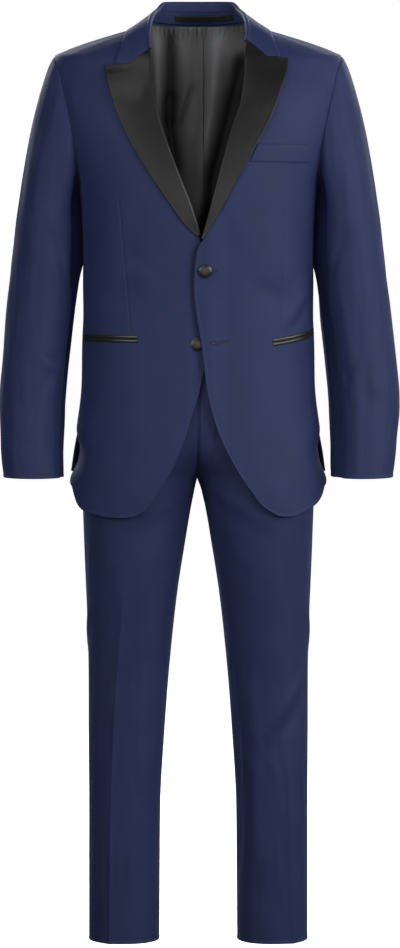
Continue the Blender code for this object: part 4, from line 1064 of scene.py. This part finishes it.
def back_places():
    """Grid of places of a back panel, from the side seam to the centre back."""
    steps = arm_angles(ARM_STEPS - SIDE_STEP, ARM_STEPS)
    outer = np.concatenate([side_seam("back_seam", BACK_SEAM_HEM)[:-1], armhole(steps)])
    high = np.concatenate([shoulder_seam(BACK_SHOULDER)[::-1],
                           neck_places(NECK_POINT, 0, BACK_NECK)[1:]])
    high[0] = outer[-1]
    z = CENTRE_BACK_HEM + (high[-1, 1] - CENTRE_BACK_HEM) * lengths(outer * [ARC, 1])
    share = np.linspace(0, 1, len(high))
    low = pair(outer[0, 0] + (PI - outer[0, 0]) * share,
               BACK_SEAM_HEM + (CENTRE_BACK_HEM - BACK_SEAM_HEM) * ease(share))
    return fill(outer, pair(PI, z), low, high)


def make_backs():
    """The two back panels with their flaps at the side vents."""
    for side in SIDES:
        places = back_places()
        places[-1, :BACK_SHOULDER * FINE + 1, 0] -= SEAM_TUCK
        if side == "left":
            places[:, -1, 0] += SEAM_TUCK
        sewn("jacket_back_" + side, panel(back_face(side), places, "seam seam edge seam"),
             LINED_WOOL, 1)


# ---- sleeves

def sleeve_ring(psi, z, side):
    """Level section of a sleeve; psi is 0 on its outer side and 90 degrees in front."""
    extra = read(SLEEVE, "extra", z) * (side == "left")
    inside = 1 - ease((-np.cos(psi) - 0.5) * 4)
    rise = folds(SLEEVE_FOLDS, wrapped(psi) * ARC, z) * inside
    return np.stack([
        read(SLEEVE, "x", z) + extra + (read(SLEEVE, "width", z) + extra + rise) * np.cos(psi),
        read(SLEEVE, "y", z) - (read(SLEEVE, "depth", z) + rise) * np.sin(psi), z], axis=-1)


def sleeve_cap(psi, s, side):
    """Sleeve head between the armhole seam (s = 1) and the biceps (s = 0)."""
    place = armhole(psi)
    start = torso(place[..., 0], place[..., 1]) + [SLEEVE_OFFSET, 0, 0]
    end = sleeve_ring(psi, np.full(psi.shape, BICEPS_Z), side)
    high = (1 + np.cos(psi)) / 2
    drop = start[..., 2] - end[..., 2]
    first = start + np.stack([21 * high ** 1.5 - 0.7, -9 * np.sin(psi),
                              -drop * (0.3 - 0.22 * high)], axis=-1)
    lower = 0.42 * drop
    second = end + np.stack([-lower * (0.045 + 0.085 * np.cos(psi)), 0 * psi, lower], axis=-1)
    v = (1 - s)[..., None]
    return ((1 - v) ** 3 * start + 3 * (1 - v) ** 2 * v * first
            + 3 * (1 - v) * v ** 2 * second + v ** 3 * end)


def sleeve_face(side):
    """A sleeve's outer face: its places are minus psi, and the height up to the biceps and on."""
    def face(a, b):
        a, b = spread(a, b)
        tube = sleeve_ring(-a, np.minimum(b, BICEPS_Z), side)
        cap = sleeve_cap(-a, np.clip((b - BICEPS_Z) / CAP_RUN, 0, 1), side)
        points = np.where((b > BICEPS_Z)[..., None], cap, tube)
        rise = folds(SLEEVE_CREASES[side], wrapped(-a) * ARC, points[..., 2])
        rise = rise * (1 - ease((b - BICEPS_Z - CAP_RUN * 0.8) / (CAP_RUN * 0.15)))
        return points + np.stack([np.cos(a) * rise, np.sin(a) * rise, 0 * rise], axis=-1)
    return face


def head_relief(t, z, gaps):
    """Small gathers where the sleeve's head is eased into the armhole."""
    near = bell(gaps[3] / 13.0) * ease(gaps[3] / 3.0)
    return near * 0.28 * (np.sin(t * 21.0) + 0.6 * np.sin(t * 37.0 + 1.3))


def tucked(piece):
    """A sleeve whose allowance reaches under the body's, so that the armhole seam is closed."""
    top = piece["outer"][-1]
    t = np.arctan2(top[:, 0] / read(TORSO, "width", top[:, 2]),
                   -top[:, 1] / read(TORSO, "back", top[:, 2]))
    out = normal(torso, t, top[:, 2])
    reach = unit(np.cross(out, np.gradient(top, axis=0)))
    piece["inner"][-1] = top - out * ALLOWANCE_DEPTH + reach * ALLOWANCE_REACH
    return piece


def make_sleeves():
    """An upper and an under sleeve on each side."""
    levels = np.concatenate([np.linspace(CUFF_Z, BICEPS_Z, 44),
                             np.linspace(BICEPS_Z, BICEPS_Z + CAP_RUN, 26)[1:]])[:, None]
    under = arm_angles(SIDE_STEP, ARM_STEPS - SIDE_STEP)
    under[0], under[-1] = under[0] - SEAM_TUCK, under[-1] + SEAM_TUCK
    for side in SIDES:
        for part, angle, edges in (("top", arm_angles(-SIDE_STEP, SIDE_STEP), "pressed seam"),
                                   ("under", under, "seam pressed")):
            piece = panel(sleeve_face(side), pair(angle, levels), edges + " edge seam",
                          relief=head_relief)
            sewn("sleeve_" + part + "_" + side, tucked(piece), LINED_WOOL, 1)


# ---- collar and lapels

def collar_station(station, side):
    """One cross-section of the collar: the middle of its fold, three directions and its leaf."""
    drop = DROOP[side] * read(COLLAR, "droop", station)
    fold, ahead, behind = (np.array([read(COLLAR, "fold_" + k, station + step) for k in "xyz"])
                           for step in (0.0, 0.05, -0.05))
    fold += np.array([0.0, -FOLD_AHEAD * drop, -drop])
    lean = math.radians(read(COLLAR, "lean", station))
    tip = unit(np.array([-math.sin(lean), -0.2 * math.cos(lean), math.cos(lean)]))
    path = unit(ahead - behind) if station > 0.01 else np.array([1.0, 0.0, 0.0])
    return fold - tip * FOLD_RADIUS, tip, unit(np.cross(tip, path)), drop


def leaf_points(station, side, start, out, drop):
    """Places across the leaf: a soft curve behind, and flat along the gorge and notch in front."""
    height = LAPEL_LIE + SATIN / 2
    angle = math.radians(read(COLLAR, "leaf_angle", station))
    leaf_z = read(COLLAR, "leaf_z", station) - drop
    if station > NECK_POINT and drop > 0:
        angle = angle_at_x(torso(angle, leaf_z + drop)[0], leaf_z)
    edge = lifted(torso, angle, leaf_z, height)
    s = np.linspace(0, 1, 17)[1:]
    x, z = (np.interp(s, [0, LEAF_KNEE, 1], [GORGE[side][k], NOTCH[side][k], edge[2 * k]])
            for k in (0, 1))
    flat = lifted(torso, angle_at_x(x, z), z, height + LEAF_SPRING * s ** 2)
    s = s[:, None]
    edge = edge + out * LEAF_SPRING
    bulge = (start + edge) / 2 + out * LEAF_BULGE
    curve = (1 - s) ** 2 * start + 2 * s * (1 - s) * bulge + s ** 2 * edge
    share = ease((station - 5.0) / 2.0)
    return curve * (1 - share) + flat * share


def fall_depth(station):
    """How far down inside the neck the fall reaches."""
    high = read(COLLAR, "fold_z", station) - read(COLLAR, "neck_z", station)
    return max(FALL_LEAST, FALL_INSIDE * high)


def side_at(station):
    """A collar station without its sign, the side that it lies on and the sign of its x."""
    return abs(station), SIDES[station < 0], -1 if station < 0 else 1


def collar_section(station):
    """Points across the fall: up the inside of the neck, over the fold, down to the leaf's edge."""
    at, side, sign = side_at(station)
    centre, tip, out, drop = collar_station(at, side)
    high = centre - out * FOLD_RADIUS
    low = high - tip * (fall_depth(at) - FOLD_RADIUS)
    points = [low + (high - low) * s for s in (0, 0.25, 0.5, 0.75)]
    for a in np.linspace(PI, 0, 13):
        points.append(centre + out * FOLD_RADIUS * math.cos(a) + tip * FOLD_RADIUS * math.sin(a))
    points.extend(leaf_points(at, side, points[-1], out, drop))
    return np.array(points) * [sign, 1, 1]


def make_collar():
    """The fall, from one gorge round the neck to the other."""
    half = np.linspace(0, GORGE_END, 80)
    stations = np.concatenate([-half[:0:-1], half])
    grid = np.stack([collar_section(s) for s in stations], axis=1)[::-1]
    piece = sheet_of(grid, SATIN)
    height = sum(turned_edge(piece["gaps"][k]) * share for k, share in ((2, 1), (0, 0.6), (1, 0.6)))
    piece["outer"] = piece["outer"] + grid_normals(grid) * height[..., None]
    sewn("collar", piece, [WOOL])


def stand_point(station, s):
    """A point of the collar stand, s from 0 at the neck seam to 1 at the fall."""
    at, side, sign = side_at(station)
    centre, tip, out, drop = collar_station(at, side)
    top = centre - out * (FOLD_RADIUS - STAND_BACK) - tip * (fall_depth(at) - FOLD_RADIUS + 0.7)
    neck_z = read(COLLAR, "neck_z", at) - drop
    seam = lifted(torso, math.radians(read(COLLAR, "neck_angle", at)), neck_z, -0.9)
    foot = seam + unit(top - seam) * 2.0
    return (foot + (top - foot) * s) * [sign, 1, 1]


def make_stand():
    """The stand inside the neck, and the plain hanger strip on it."""
    grid = np.stack([[stand_point(at, s) for at in np.linspace(-NECK_POINT, NECK_POINT, 97)]
                     for s in np.linspace(0, 1, 9)])
    sewn("collar_stand", sheet_of(grid, CLOTH), [WOOL])
    base = np.stack([[stand_point(at, s) for at in np.linspace(*LOOP, LOOP_COLUMNS)]
                     for s in np.linspace(0.27, 0.73, 9)])
    inward = grid_normals(base)
    u = np.linspace(0, 1, LOOP_COLUMNS)
    lift = CLOTH / 2 + 0.9 + 1.6 * ease(u * 6) * ease((1 - u) * 6) * (1 + 0.25 * np.sin(u * 9.0))
    strip = sheet_of(base + inward * (lift + LOOP_WALL)[:, None], LOOP_WALL, 0.0)
    paths = []
    for column in (2, LOOP_COLUMNS - 3):
        for row in range(1, 8):
            at, up = strip["outer"][row, column], inward[row, column]
            step = strip["outer"][row, column + 1] - strip["outer"][row, column - 1]
            paths.append([at + step * s + up * rise
                          for s, rise in ((-0.55, 0.1), (0, 0.35), (0.55, 0.1))])
    bars = threads("stitches_hanger_loop", paths, 0.3, BLACK_THREAD)
    sewn("hanger_loop", strip, [SATIN_CLOTH])


def lapel_places(side):
    """x and z of a lapel's grid: roll line, outer edge, gorge and the tip of the opening."""
    outline = LAPEL[side]
    gorge = (GORGE[side][0], GORGE[side][1] - GORGE_GAP - ROLL_GAP)
    notch = (NOTCH[side][0], NOTCH[side][1] - GORGE_GAP)
    tip_z = outline[-1][1] + 1.0
    z = finer(finer([tip_z] + [z for z in EDGE_LEVELS if tip_z + 7 < z] + [gorge[1]]))
    inner = pair(edge_x(side, z), z)
    inner[:, 0] += (gorge[0] - inner[-1, 0]) * ease((z - gorge[1] + 25.0) / 25.0)
    outer = along(outline[::-1], lengths(inner))
    first = round(LAPEL_COLUMNS * 0.45)
    top = np.concatenate([np.linspace(gorge, notch, first + 1),
                          np.linspace(notch, outline[0], LAPEL_COLUMNS - first + 1)[1:]])
    bottom = np.linspace(inner[0], outer[0], LAPEL_COLUMNS + 1)
    return fill(*[edge / [ARC, 1] for edge in (inner, outer, bottom, top)]) * [ARC, 1]


def make_lapel(side):
    """A satin lapel: it lies on the front and rolls round the front's edge to its inside."""
    face = FRONT[side]
    places = lapel_places(side)
    width = np.linalg.norm(places[:, -1] - places[:, 0], axis=1)
    radius = np.minimum(ROLL_RADIUS, 0.55 * width)[:, None]
    start = radius / width[:, None]
    whole = np.linspace(0, 1, LAPEL_COLUMNS + 1)
    u = start + (1 - start) * whole
    x, z = np.array([[np.interp(a, whole, row[:, k]) for a, row in zip(u, places)]
                     for k in (0, 1)])
    roll_x, roll_z = places[:, 0, 0], places[:, 0, 1]
    angle, roll_angle = angle_at_x(x, z), angle_at_x(roll_x, roll_z)
    flat = LAPEL_LIE + SATIN / 2
    v = np.linspace(0, 1, len(z))[:, None]
    spring = LAPEL_SPRING * u ** 1.6 * ease(v * 1.6) * (1 - 0.8 * ease((v - 0.82) / 0.18))
    bend = LAPEL_BEND[side] * ease(u * 3) * bell((v - 0.73) / 0.09)
    wave = 0.5 * u * np.sin(v * 9.0 + 1.0) * ease(v * 4) * ease((1 - v) * 6)
    height = flat + (radius - ROLL_DROP - flat) * bell((u - start) / 0.3)
    height = height + (0.8 + 1.6 * (1 - v)) * u * (1 - u) * ease(v * 5) + spring + bend + wave
    middle = lifted(face, angle, z, height)
    base = face(roll_angle, roll_z)
    out = normal(face, roll_angle, roll_z)
    off = unit(np.cross(out, np.gradient(base, axis=0)))
    centre = base - off * radius - out * ROLL_DROP
    taper = ease(v * 6) * 0.45 + 0.55
    turns = [centre - off * ROLL_UNDER * taper * s - out * radius for s in (1.0, 0.66, 0.33)]
    for a in np.radians(np.linspace(-90, 78, 15)):
        turns.append(centre + off * radius * math.cos(a) + out * radius * math.sin(a))
    middle[:, 0] = centre + out * radius
    grid = np.concatenate([np.stack(turns, axis=1), middle], axis=1)
    piece = sheet_of(grid, SATIN)
    rim = sum(0.25 * (1 - ease(piece["gaps"][k] / 4.0)) for k in (1, 3))
    piece["outer"] = piece["outer"] + grid_normals(grid) * rim[..., None]
    sewn("lapel_" + side, piece, [SATIN_CLOTH, WOOL], 1)


# ---- lining

def tucks(x, below):
    """Small gathers under the neck seam."""
    near = bell(below / 22.0) * ease(below / 2.0)
    return near * (1.7 * np.sin(x * 0.83) + 0.9 * np.sin(x * 1.31 + 1.0) + 0.5 * np.sin(x * 0.37))


def make_lining(side):
    """Half of the back lining, with soft folds; the right half laps over the left one. Shade is
    painted into its colour: darkest in the fold valleys, beside the lapped seam and low in the
    opening, lightest on the highest ridges.
    """
    sign = 1 if side == "left" else -1
    places = back_places()[FINE:]
    places[..., 1] -= LINING_DROP * ease((places[..., 1] + 25) / 20)
    seam = angle_at_x(LINING_SEAM_X, places[:, -1, 1])
    if side == "left":
        places[:, -1, 0] = PI - seam
        places = places[:, np.r_[0:places.shape[1] - FINE, -1]]
    else:
        beyond = pair(PI + seam + PLEAT_OVER, places[:, -1, 1])
        places = np.concatenate([places, beyond[:, None]], axis=1)
    places = respaced(torso, places, "hidden", "seam", LINING_ACROSS)[:, 1:]
    places = respaced(torso, places.transpose(1, 0, 2), "hidden", "seam", UPWARD)
    t, z = places.transpose(2, 1, 0)
    base = sum(torso(t, z + up) * share for up, share in LINING_SMOOTH)
    middle = ease((98.0 - np.abs(base[..., :1])) / 30.0)
    base = torso(t, z) + (base - torso(t, z)) * middle
    base[..., 2] = z
    x = base[..., 0] * sign
    up = run_of(base, 0)
    below = up[-1:] - up
    fade = ease((x + 105) / 34) * ease((105 - x) / 34) * ease((below + 4.0) / 90)
    fade = fade * ease((z + 420) / 120)
    rise = folds(LINING_FOLDS, x, z) + LINING_FULL
    rise = (rise + np.sqrt(rise ** 2 + 20.0)) / 2
    if side == "right":
        rise = rise + PLEAT_LAP * bell((x - LINING_SEAM_X) / 9.0)
    small = tucks(x, below)
    # Painted shade: more the deeper the lining lies below its highest ridge, a little less on the
    # tucks' raised gathers (painted highlight), and more low down, where the opening lies in deep
    # shade.
    painted_shade = (LINING_RIDGE - rise) / LINING_RIDGE - 0.16 * small + 0.6 * ease((-z - 265.0) / 55.0)
    rise = rise * fade + np.maximum(small + 1.6, 0) * ease((95 - np.abs(x)) / 10)
    away = grid_normals(base)
    outer = base - away * (CLOTH + LINING_GAP) - unit(away * [1, 1, 0]) * rise[..., None]
    uv, gaps = measured(base)
    # Painted shadow: a dark line beside the lapped centre seam.
    painted_shade = np.clip(np.maximum(painted_shade, bell(gaps[1] / 0.9)), 0.001, 1.0)
    # The painted shade reaches the colour through the edge attribute, written as a distance from an
    # edge.
    piece = {"outer": outer, "inner": outer - grid_normals(outer) * LINING, "kinds": ["seam"] * 4,
             "uv": uv, "gap": -EDGE_REACH * np.log(painted_shade), "gaps": gaps}
    sewn("lining_" + side, piece, [LIT_LINING_CLOTH])


# ---- small pieces of the front

def make_pocket(side):
    """The two satin lips of a hip pocket, with a bar of thread at each end."""
    line = np.array(POCKET[side])
    ends = angle_at_x(line[:, 0], line[:, 1])
    angles = np.linspace(*ends, JET_COLUMNS)
    z = np.interp(angles, ends, line[:, 1])
    for part, low in (("upper", JET_SLIT / 2), ("lower", -JET_SLIT / 2 - JET_HEIGHT)):
        share = np.linspace(0, 1, JET_ROWS)[:, None]
        ripple = 0.06 * np.sin(np.linspace(0, 23, JET_COLUMNS)) * np.sin(PI * share)
        height = LIE + 0.2 + 0.95 * np.sqrt(np.maximum(0.0, 1 - (2 * share - 1) ** 2)) + ripple
        piece = laid(FRONT[side], *spread(angles, z + low + JET_HEIGHT * share), height, 0.15)
        sewn("jet_" + part + "_" + side, piece, [SATIN_TRIM])
    sign = 1 if side == "left" else -1
    paths = [lifted(FRONT[side], angles[end] + np.array([-0.5, 0.0, 0.5]) * 0.0075,
                    np.full(3, z[end] + JET_HEIGHT * (k / 6.0 - 1.0)), [0.2, 1.25, 0.2])
             * [sign, 1, 1] for end in (0, -1) for k in range(13)]
    threads("stitches_pocket_" + side, paths, 0.28, BLACK_THREAD)


def make_welt():
    """The breast pocket's welt on the left front, sewn down at both ends, and a black strip along
    its top that paints the shadow in the pocket's mouth.
    """
    face = FRONT["left"]
    corners = np.array(WELT)
    s = np.linspace(0, 1, WELT_COLUMNS)[None, :, None]
    low = corners[2] + (corners[3] - corners[2]) * s
    high = corners[0] + (corners[1] - corners[0]) * s
    places = low + (high - low) * np.linspace(0, 1, WELT_ROWS)[:, None, None]
    z = places[..., 1]
    angle = angle_at_x(places[..., 0], z)
    gaps = measured(face(angle, z))[1]
    height = 1.15 + 0.85 * ease(gaps[2] / 2.5) - 0.35 * bell((gaps[3] - 3.2) / 0.9)
    piece = laid(face, angle, z, height, 0.4)
    paths = []
    for column in (2, WELT_COLUMNS - 3):
        for x, level in places[1:-1:2, column]:
            level = np.full(3, level)
            turn = angle_at_x(x + np.array([-0.75, 0.0, 0.75]), level)
            paths.append(lifted(face, turn, level, [1.7, 2.15, 1.7]))
    # Painted shadow: a thin black satin strip along the welt's top edge stands in for the shade
    # inside the pocket's mouth.
    painted_mouth_shadow = [lifted(face, angle[-1], z[-1] + up, np.full(WELT_COLUMNS, height))
             for up, height in ((-0.6, 0.55), (0.5, 0.55), (1.1, 0.25))]
    cloth("slit_breast_pocket", sheet_of(np.stack(painted_mouth_shadow), 0.3), [SATIN_CLOTH])
    ends = threads("stitches_breast_welt", paths, 0.22, NAVY_THREAD)
    sewn("breast_welt", piece, [WOOL])


def make_button(name, face, place):
    """A domed button covered in satin, with small gathers at its rim."""
    x, z = place
    angle = angle_at_x(x, z)
    base, out = face(angle, z), normal(face, angle, z)
    side = unit(np.cross(out, [0.0, 0.0, 1.0]))
    up = np.cross(side, out)
    turn = 2 * PI * np.arange(BUTTON_STEPS)[:, None] / BUTTON_STEPS
    points, uv = [], []
    for radius, height in BUTTON:
        pucker = 0.16 * math.exp(-((radius - 0.95) / 0.12) ** 2) * np.sin(turn * 20)
        around = side * np.cos(turn) + up * np.sin(turn)
        points.append(base + out * height + around * (radius * BUTTON_RADIUS + pucker))
        uv.append(np.concatenate([np.cos(turn), np.sin(turn)], axis=1) * radius * BUTTON_RADIUS)
    end = np.arange(1, BUTTON_STEPS - 2, 2)
    end = np.stack([0 * end, end, end + 1, end + 2], axis=1)
    last = (len(BUTTON) - 1) * BUTTON_STEPS
    faces = [tube_faces(len(BUTTON), BUTTON_STEPS)[:, [0, 3, 2, 1]], end, end[:, ::-1] + last]
    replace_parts(make_mesh("satin_" + name, np.concatenate(points), np.concatenate(faces),
                          np.concatenate(uv), [SATIN_TRIM]), name)


def make_buttonhole(name, ends):
    """A worked buttonhole: close purl stitches round a narrow slit, a bar at its end, and a dark
    strip that paints the shade in the slit.
    """
    a, b = np.array(ends)
    run = unit(b - a)
    side = np.array([-run[1], run[0]])
    size = float(np.linalg.norm(b - a))
    paths = []

    def placed(points, heights):
        x, z = np.asarray(points).T
        return lifted(FRONT["left"], angle_at_x(x, z), z, heights)

    for s in np.arange(2.4, size, 0.62):
        for sign in (-1.0, 1.0):
            at = [a + run * s + side * sign * off for off in (0.25, 1.075, 1.9)]
            paths.append(placed(at, [0.30, 0.5, 0.1]))
    for turn in np.linspace(math.radians(50), math.radians(310), 15):
        reach = run * math.cos(turn) + side * math.sin(turn)
        paths.append(placed([a + reach * off for off in (0.9, 1.8, 2.6)], [0.30, 0.5, 0.1]))
    for s in (0.0, 0.5, 1.0):
        at = [b + run * s + side * off for off in (-2.0, 0.0, 2.0)]
        paths.append(placed(at, [0.2, 0.65, 0.2]))
    threads("buttonhole_" + name, paths, 0.30, NAVY_THREAD)
    # Painted shadow: a thin strip of the dark lining cloth along the slit stands in for the shade
    # in the cut.
    slit = np.linspace(a, b, 30)
    width = (0.32 + 0.75 * bell(np.linspace(0, size, 30) / 1.6))[:, None]
    rows = [placed(slit + side * width * share, np.full(30, 0.14))
            for share in (-1, -1 / 3, 1 / 3, 1)]
    cloth("slit_" + name, sheet_of(np.stack(rows), 0.12), [SHADED_INSIDE_CLOTH])


# ---- trousers

def leg(side):
    """Outer face of one trouser leg, on +X; t is 0 at the leg's front and 90 degrees outside."""
    def face(t, z):
        t, z = spread(t, z)
        crease = np.radians(read(CREASES, side, z))
        pressed = ease((-z - CREASE_STARTS[side]) / CREASE_FADE) * CREASE_HEIGHT
        rise = (folds(TROUSER_FOLDS, t * ARC, z) + folds(LEG_CREASES[side], t * ARC, z)) \
            * ease((-z - 690) / 30)
        for place in (crease, crease + PI):
            rise = rise + pressed * np.exp(-np.abs(wrapped(t - place)) * 70.0 / CREASE_WIDTH)
        x, y = section(TROUSERS, t, z, TROUSER_SQUARE, rise)
        x = x + read(TROUSERS, "x", z)
        if side == "left":
            over = 1.6 * bell((z - CROTCH_Z - 5.0) / 40.0) + 2.6 * bell((z - CROTCH_Z) / 14.0)
            x = x - over * ease(-2 * np.sin(t) - 1)
        return np.stack([np.maximum(x, CENTRE[side]), y, z], axis=-1)
    return face


def crotch_angle(z):
    """Angle at which a leg's section meets the middle, or the inseam below the crotch."""
    q = np.clip((read(TROUSERS, "x", z) - 0.25) / read(TROUSERS, "width", z), 0, 1)
    return np.where(z <= CROTCH_Z, PI / 2, np.arctan2(q, squared(q, TROUSER_SQUARE)))


def trouser_places(side, part, z):
    """Places of one trouser panel, with its crease in the column CREASE_COLUMN."""
    inside = crotch_angle(z)
    middle = np.radians(read(CREASES, side, z))
    if part == "front":
        start, end = -inside - CENTRE_TUCK, 0 * z + PI / 2
    else:
        start, end = 0 * z + PI / 2 - SEAM_TUCK, PI + inside + CENTRE_TUCK
        middle = np.minimum(middle + PI, (start + end) / 2 + 0.9)
    middle = np.clip(middle, start + 0.15, end - 0.15)
    halves = np.linspace(0, 1, CREASE_COLUMN + 1)
    start, middle, end = start[:, None], middle[:, None], end[:, None]
    t = np.concatenate([start + (middle - start) * halves,
                        middle + (end - middle) * halves[1:]], axis=1)
    return pair(t, z[:, None])


def crease_pin(places, run):
    """Where the pressed crease crosses each row of a trouser panel."""
    return run[:, CREASE_COLUMN]


def trouser_piece(node, side, places, edges, **given):
    """A piece of the trousers, which ends at the middle between the legs."""
    piece = panel(leg(side), places, edges, **given)
    for key in ("outer", "inner"):
        piece[key][..., 0] = np.maximum(piece[key][..., 0], CENTRE[side])
    sewn(node + "_" + side, piece, [TROUSER_WOOL])


def make_trousers():
    """A front and a back panel for each leg, and the band above them."""
    levels = np.concatenate([np.linspace(HEM_Z, KNEE_Z, 90), np.linspace(KNEE_Z, BAND_Z, 60)[1:]])
    t = np.linspace(-CENTRE_TUCK, PI + CENTRE_TUCK, 60)
    for side in SIDES:
        for part in ("front", "back"):
            trouser_piece("trousers_" + part, side, trouser_places(side, part, levels),
                          "seam seam edge hidden", pin=crease_pin, wider=0.5)
        band = pair(t, np.linspace(BAND_Z, WAIST_Z, 12)[:, None])
        trouser_piece("waistband", side, band, "seam seam seam edge")


def make_fly():
    """The fly piece on the left front, with its free edge beside the middle."""
    z = np.linspace(FLY_BOTTOM, BAND_Z - 2, 60)[:, None]
    rise = (z - FLY_BOTTOM) / (z[-1] - FLY_BOTTOM)
    share = np.linspace(0, 1, 16)
    x = FLY_EDGE + FLY_WIDTH * np.minimum(1.0, 0.25 + 1.6 * rise) ** 0.7 * share
    q = np.clip((x - read(TROUSERS, "x", z)) / read(TROUSERS, "width", z), -1, 1)
    base = leg("left")(np.arctan2(q, squared(q, TROUSER_SQUARE)), z)
    piece = sheet_of(base, CLOTH)
    away = grid_normals(base)
    height = (LIE + CLOTH - 1.6 * ease((share - 0.75) / 0.25))[:, None]
    piece["outer"], piece["inner"] = base + away * height, base + away * (height - CLOTH)
    sewn("fly", piece, [TROUSER_WOOL])


# ---- stage, light and camera

# Soft lights round the suit: name, angle from the front (to the viewer's right), height angle,
# power, distance, height of the place it faces, and size, in metres.
LIGHTS = [("left_low", -40, 10, 24.0, 3.2, -0.3, 1.4),
          ("left_high", -20, 45, 12.0, 3.2, -0.3, 1.4),
          ("front_low", 0, 5, 3.8, 1.7, -0.6, 0.9),
          ("right_low", 40, 10, 41.0, 3.2, -0.3, 1.4),
          ("right_side", 70, 10, 26.0, 3.2, -0.3, 1.4),
          ("right_edge", 90, 20, 12.0, 3.2, -0.3, 1.4),
          ("back_left", -150, 25, 65.0, 3.2, -0.3, 1.4),
          ("back_right", 150, 25, 50.0, 3.2, -0.3, 1.4)]
WORLD_STRENGTH = 0.04
CAMERA_PLACE = (0.0028, -7.0, -0.160)
CAMERA_DOWN = 4.375  # degrees below level
CAMERA_LENS = 171.3
FLOOR_Z = -1.52
STAGE_RADIUS = 34.0
STAGE_STEPS = 72


def linked(name, data):
    """A new object in the scene."""
    made = bpy.data.objects.new(name, data)
    bpy.context.scene.collection.objects.link(made)
    return made


def area_light(name, angle, height, power, distance, target_z, size):
    """A soft square light that faces the suit."""
    data = bpy.data.lights.new(name, "AREA")
    data.shape = "SQUARE"
    data.size = size
    data.energy = power
    a, e = math.radians(angle), math.radians(height)
    made = linked(name, data)
    made.location = (distance * math.sin(a) * math.cos(e), -distance * math.cos(a) * math.cos(e),
                     target_z + distance * math.sin(e))
    made.rotation_euler = (PI / 2 - e, 0, a)


def stage_mesh(name, rings, cap, strength):
    """A pale round surface of the stage, closed at one ring and seen by the camera alone."""
    turn = 2 * PI * np.arange(STAGE_STEPS) / STAGE_STEPS
    points = [(r * math.cos(a), r * math.sin(a), FLOOR_Z + h) for r, h in rings for a in turn]
    faces = tube_faces(len(rings), STAGE_STEPS)[:, [0, 3, 2, 1]].tolist()
    faces.append([cap * STAGE_STEPS + k for k in range(STAGE_STEPS)])
    mesh = bpy.data.meshes.new(name)
    mesh.from_pydata(points, [], faces)
    mesh.shade_smooth()
    mat, add, finish = new_material("pale_" + name)
    place = add("TexCoord").outputs["Object"]
    grain = add("TexNoise", Vector=place, Scale=3.0, Detail=2.0).outputs["Fac"]
    shade = add("Mix", data_type="RGBA", i0=grain, i6=(0.86, 0.86, 0.86, 1.0),
                i7=(0.9, 0.9, 0.9, 1.0)).outputs[2]
    finish(Base_Color=shade, Roughness=0.8, Emission_Color=(1.0, 1.0, 1.0, 1.0),
           Emission_Strength=strength)
    mesh.materials.append(mat)
    made = linked(name, mesh)
    made.visible_diffuse = False
    made.visible_glossy = False
    made.visible_shadow = False


def make_stage():
    """A round pale floor, and a plain pale dome far behind it on every side."""
    stage_mesh("floor", [(r, 0.0) for r in (0.5, 2.0, 6.0, 14.0, STAGE_RADIUS)], 0, 0.95)
    stage_mesh("backdrop", [(STAGE_RADIUS * math.cos(a), STAGE_RADIUS * math.sin(a))
                            for a in np.radians(np.linspace(-1.0, 86.0, 16))], 15, 1.0)


def make_studio():
    """Soft lights, a dim world and the camera."""
    scene = bpy.context.scene
    scene.view_settings.view_transform = "Standard"
    scene.world = bpy.data.worlds.new("studio")
    scene.world.use_nodes = True
    back = scene.world.node_tree.nodes["Background"]
    back.inputs["Color"].default_value = (1.0, 1.0, 1.0, 1.0)
    back.inputs["Strength"].default_value = WORLD_STRENGTH
    for light in LIGHTS:
        area_light(*light)
    data = bpy.data.cameras.new("camera")
    data.lens = CAMERA_LENS
    data.sensor_width = 36.0
    data.clip_end = 100.0
    scene.camera = linked("camera", data)
    scene.camera.location = CAMERA_PLACE
    scene.camera.rotation_euler = (math.radians(90 - CAMERA_DOWN), 0, 0)


def main():
    """Build every piece, then the studio."""
    make_fronts()
    make_sides()
    make_backs()
    make_sleeves()
    make_collar()
    make_stand()
    for make in (make_lapel, make_lining, make_pocket):
        for side in SIDES:
            make(side)
    make_welt()
    make_button("button_upper", FRONT["left"], UPPER_BUTTON)
    make_button("button_lower", FRONT["right"], LOWER_BUTTON)
    make_buttonhole("upper", UPPER_HOLE)
    make_buttonhole("lower", LOWER_HOLE)
    make_trousers()
    make_fly()
    make_stage()
    make_studio()


main()
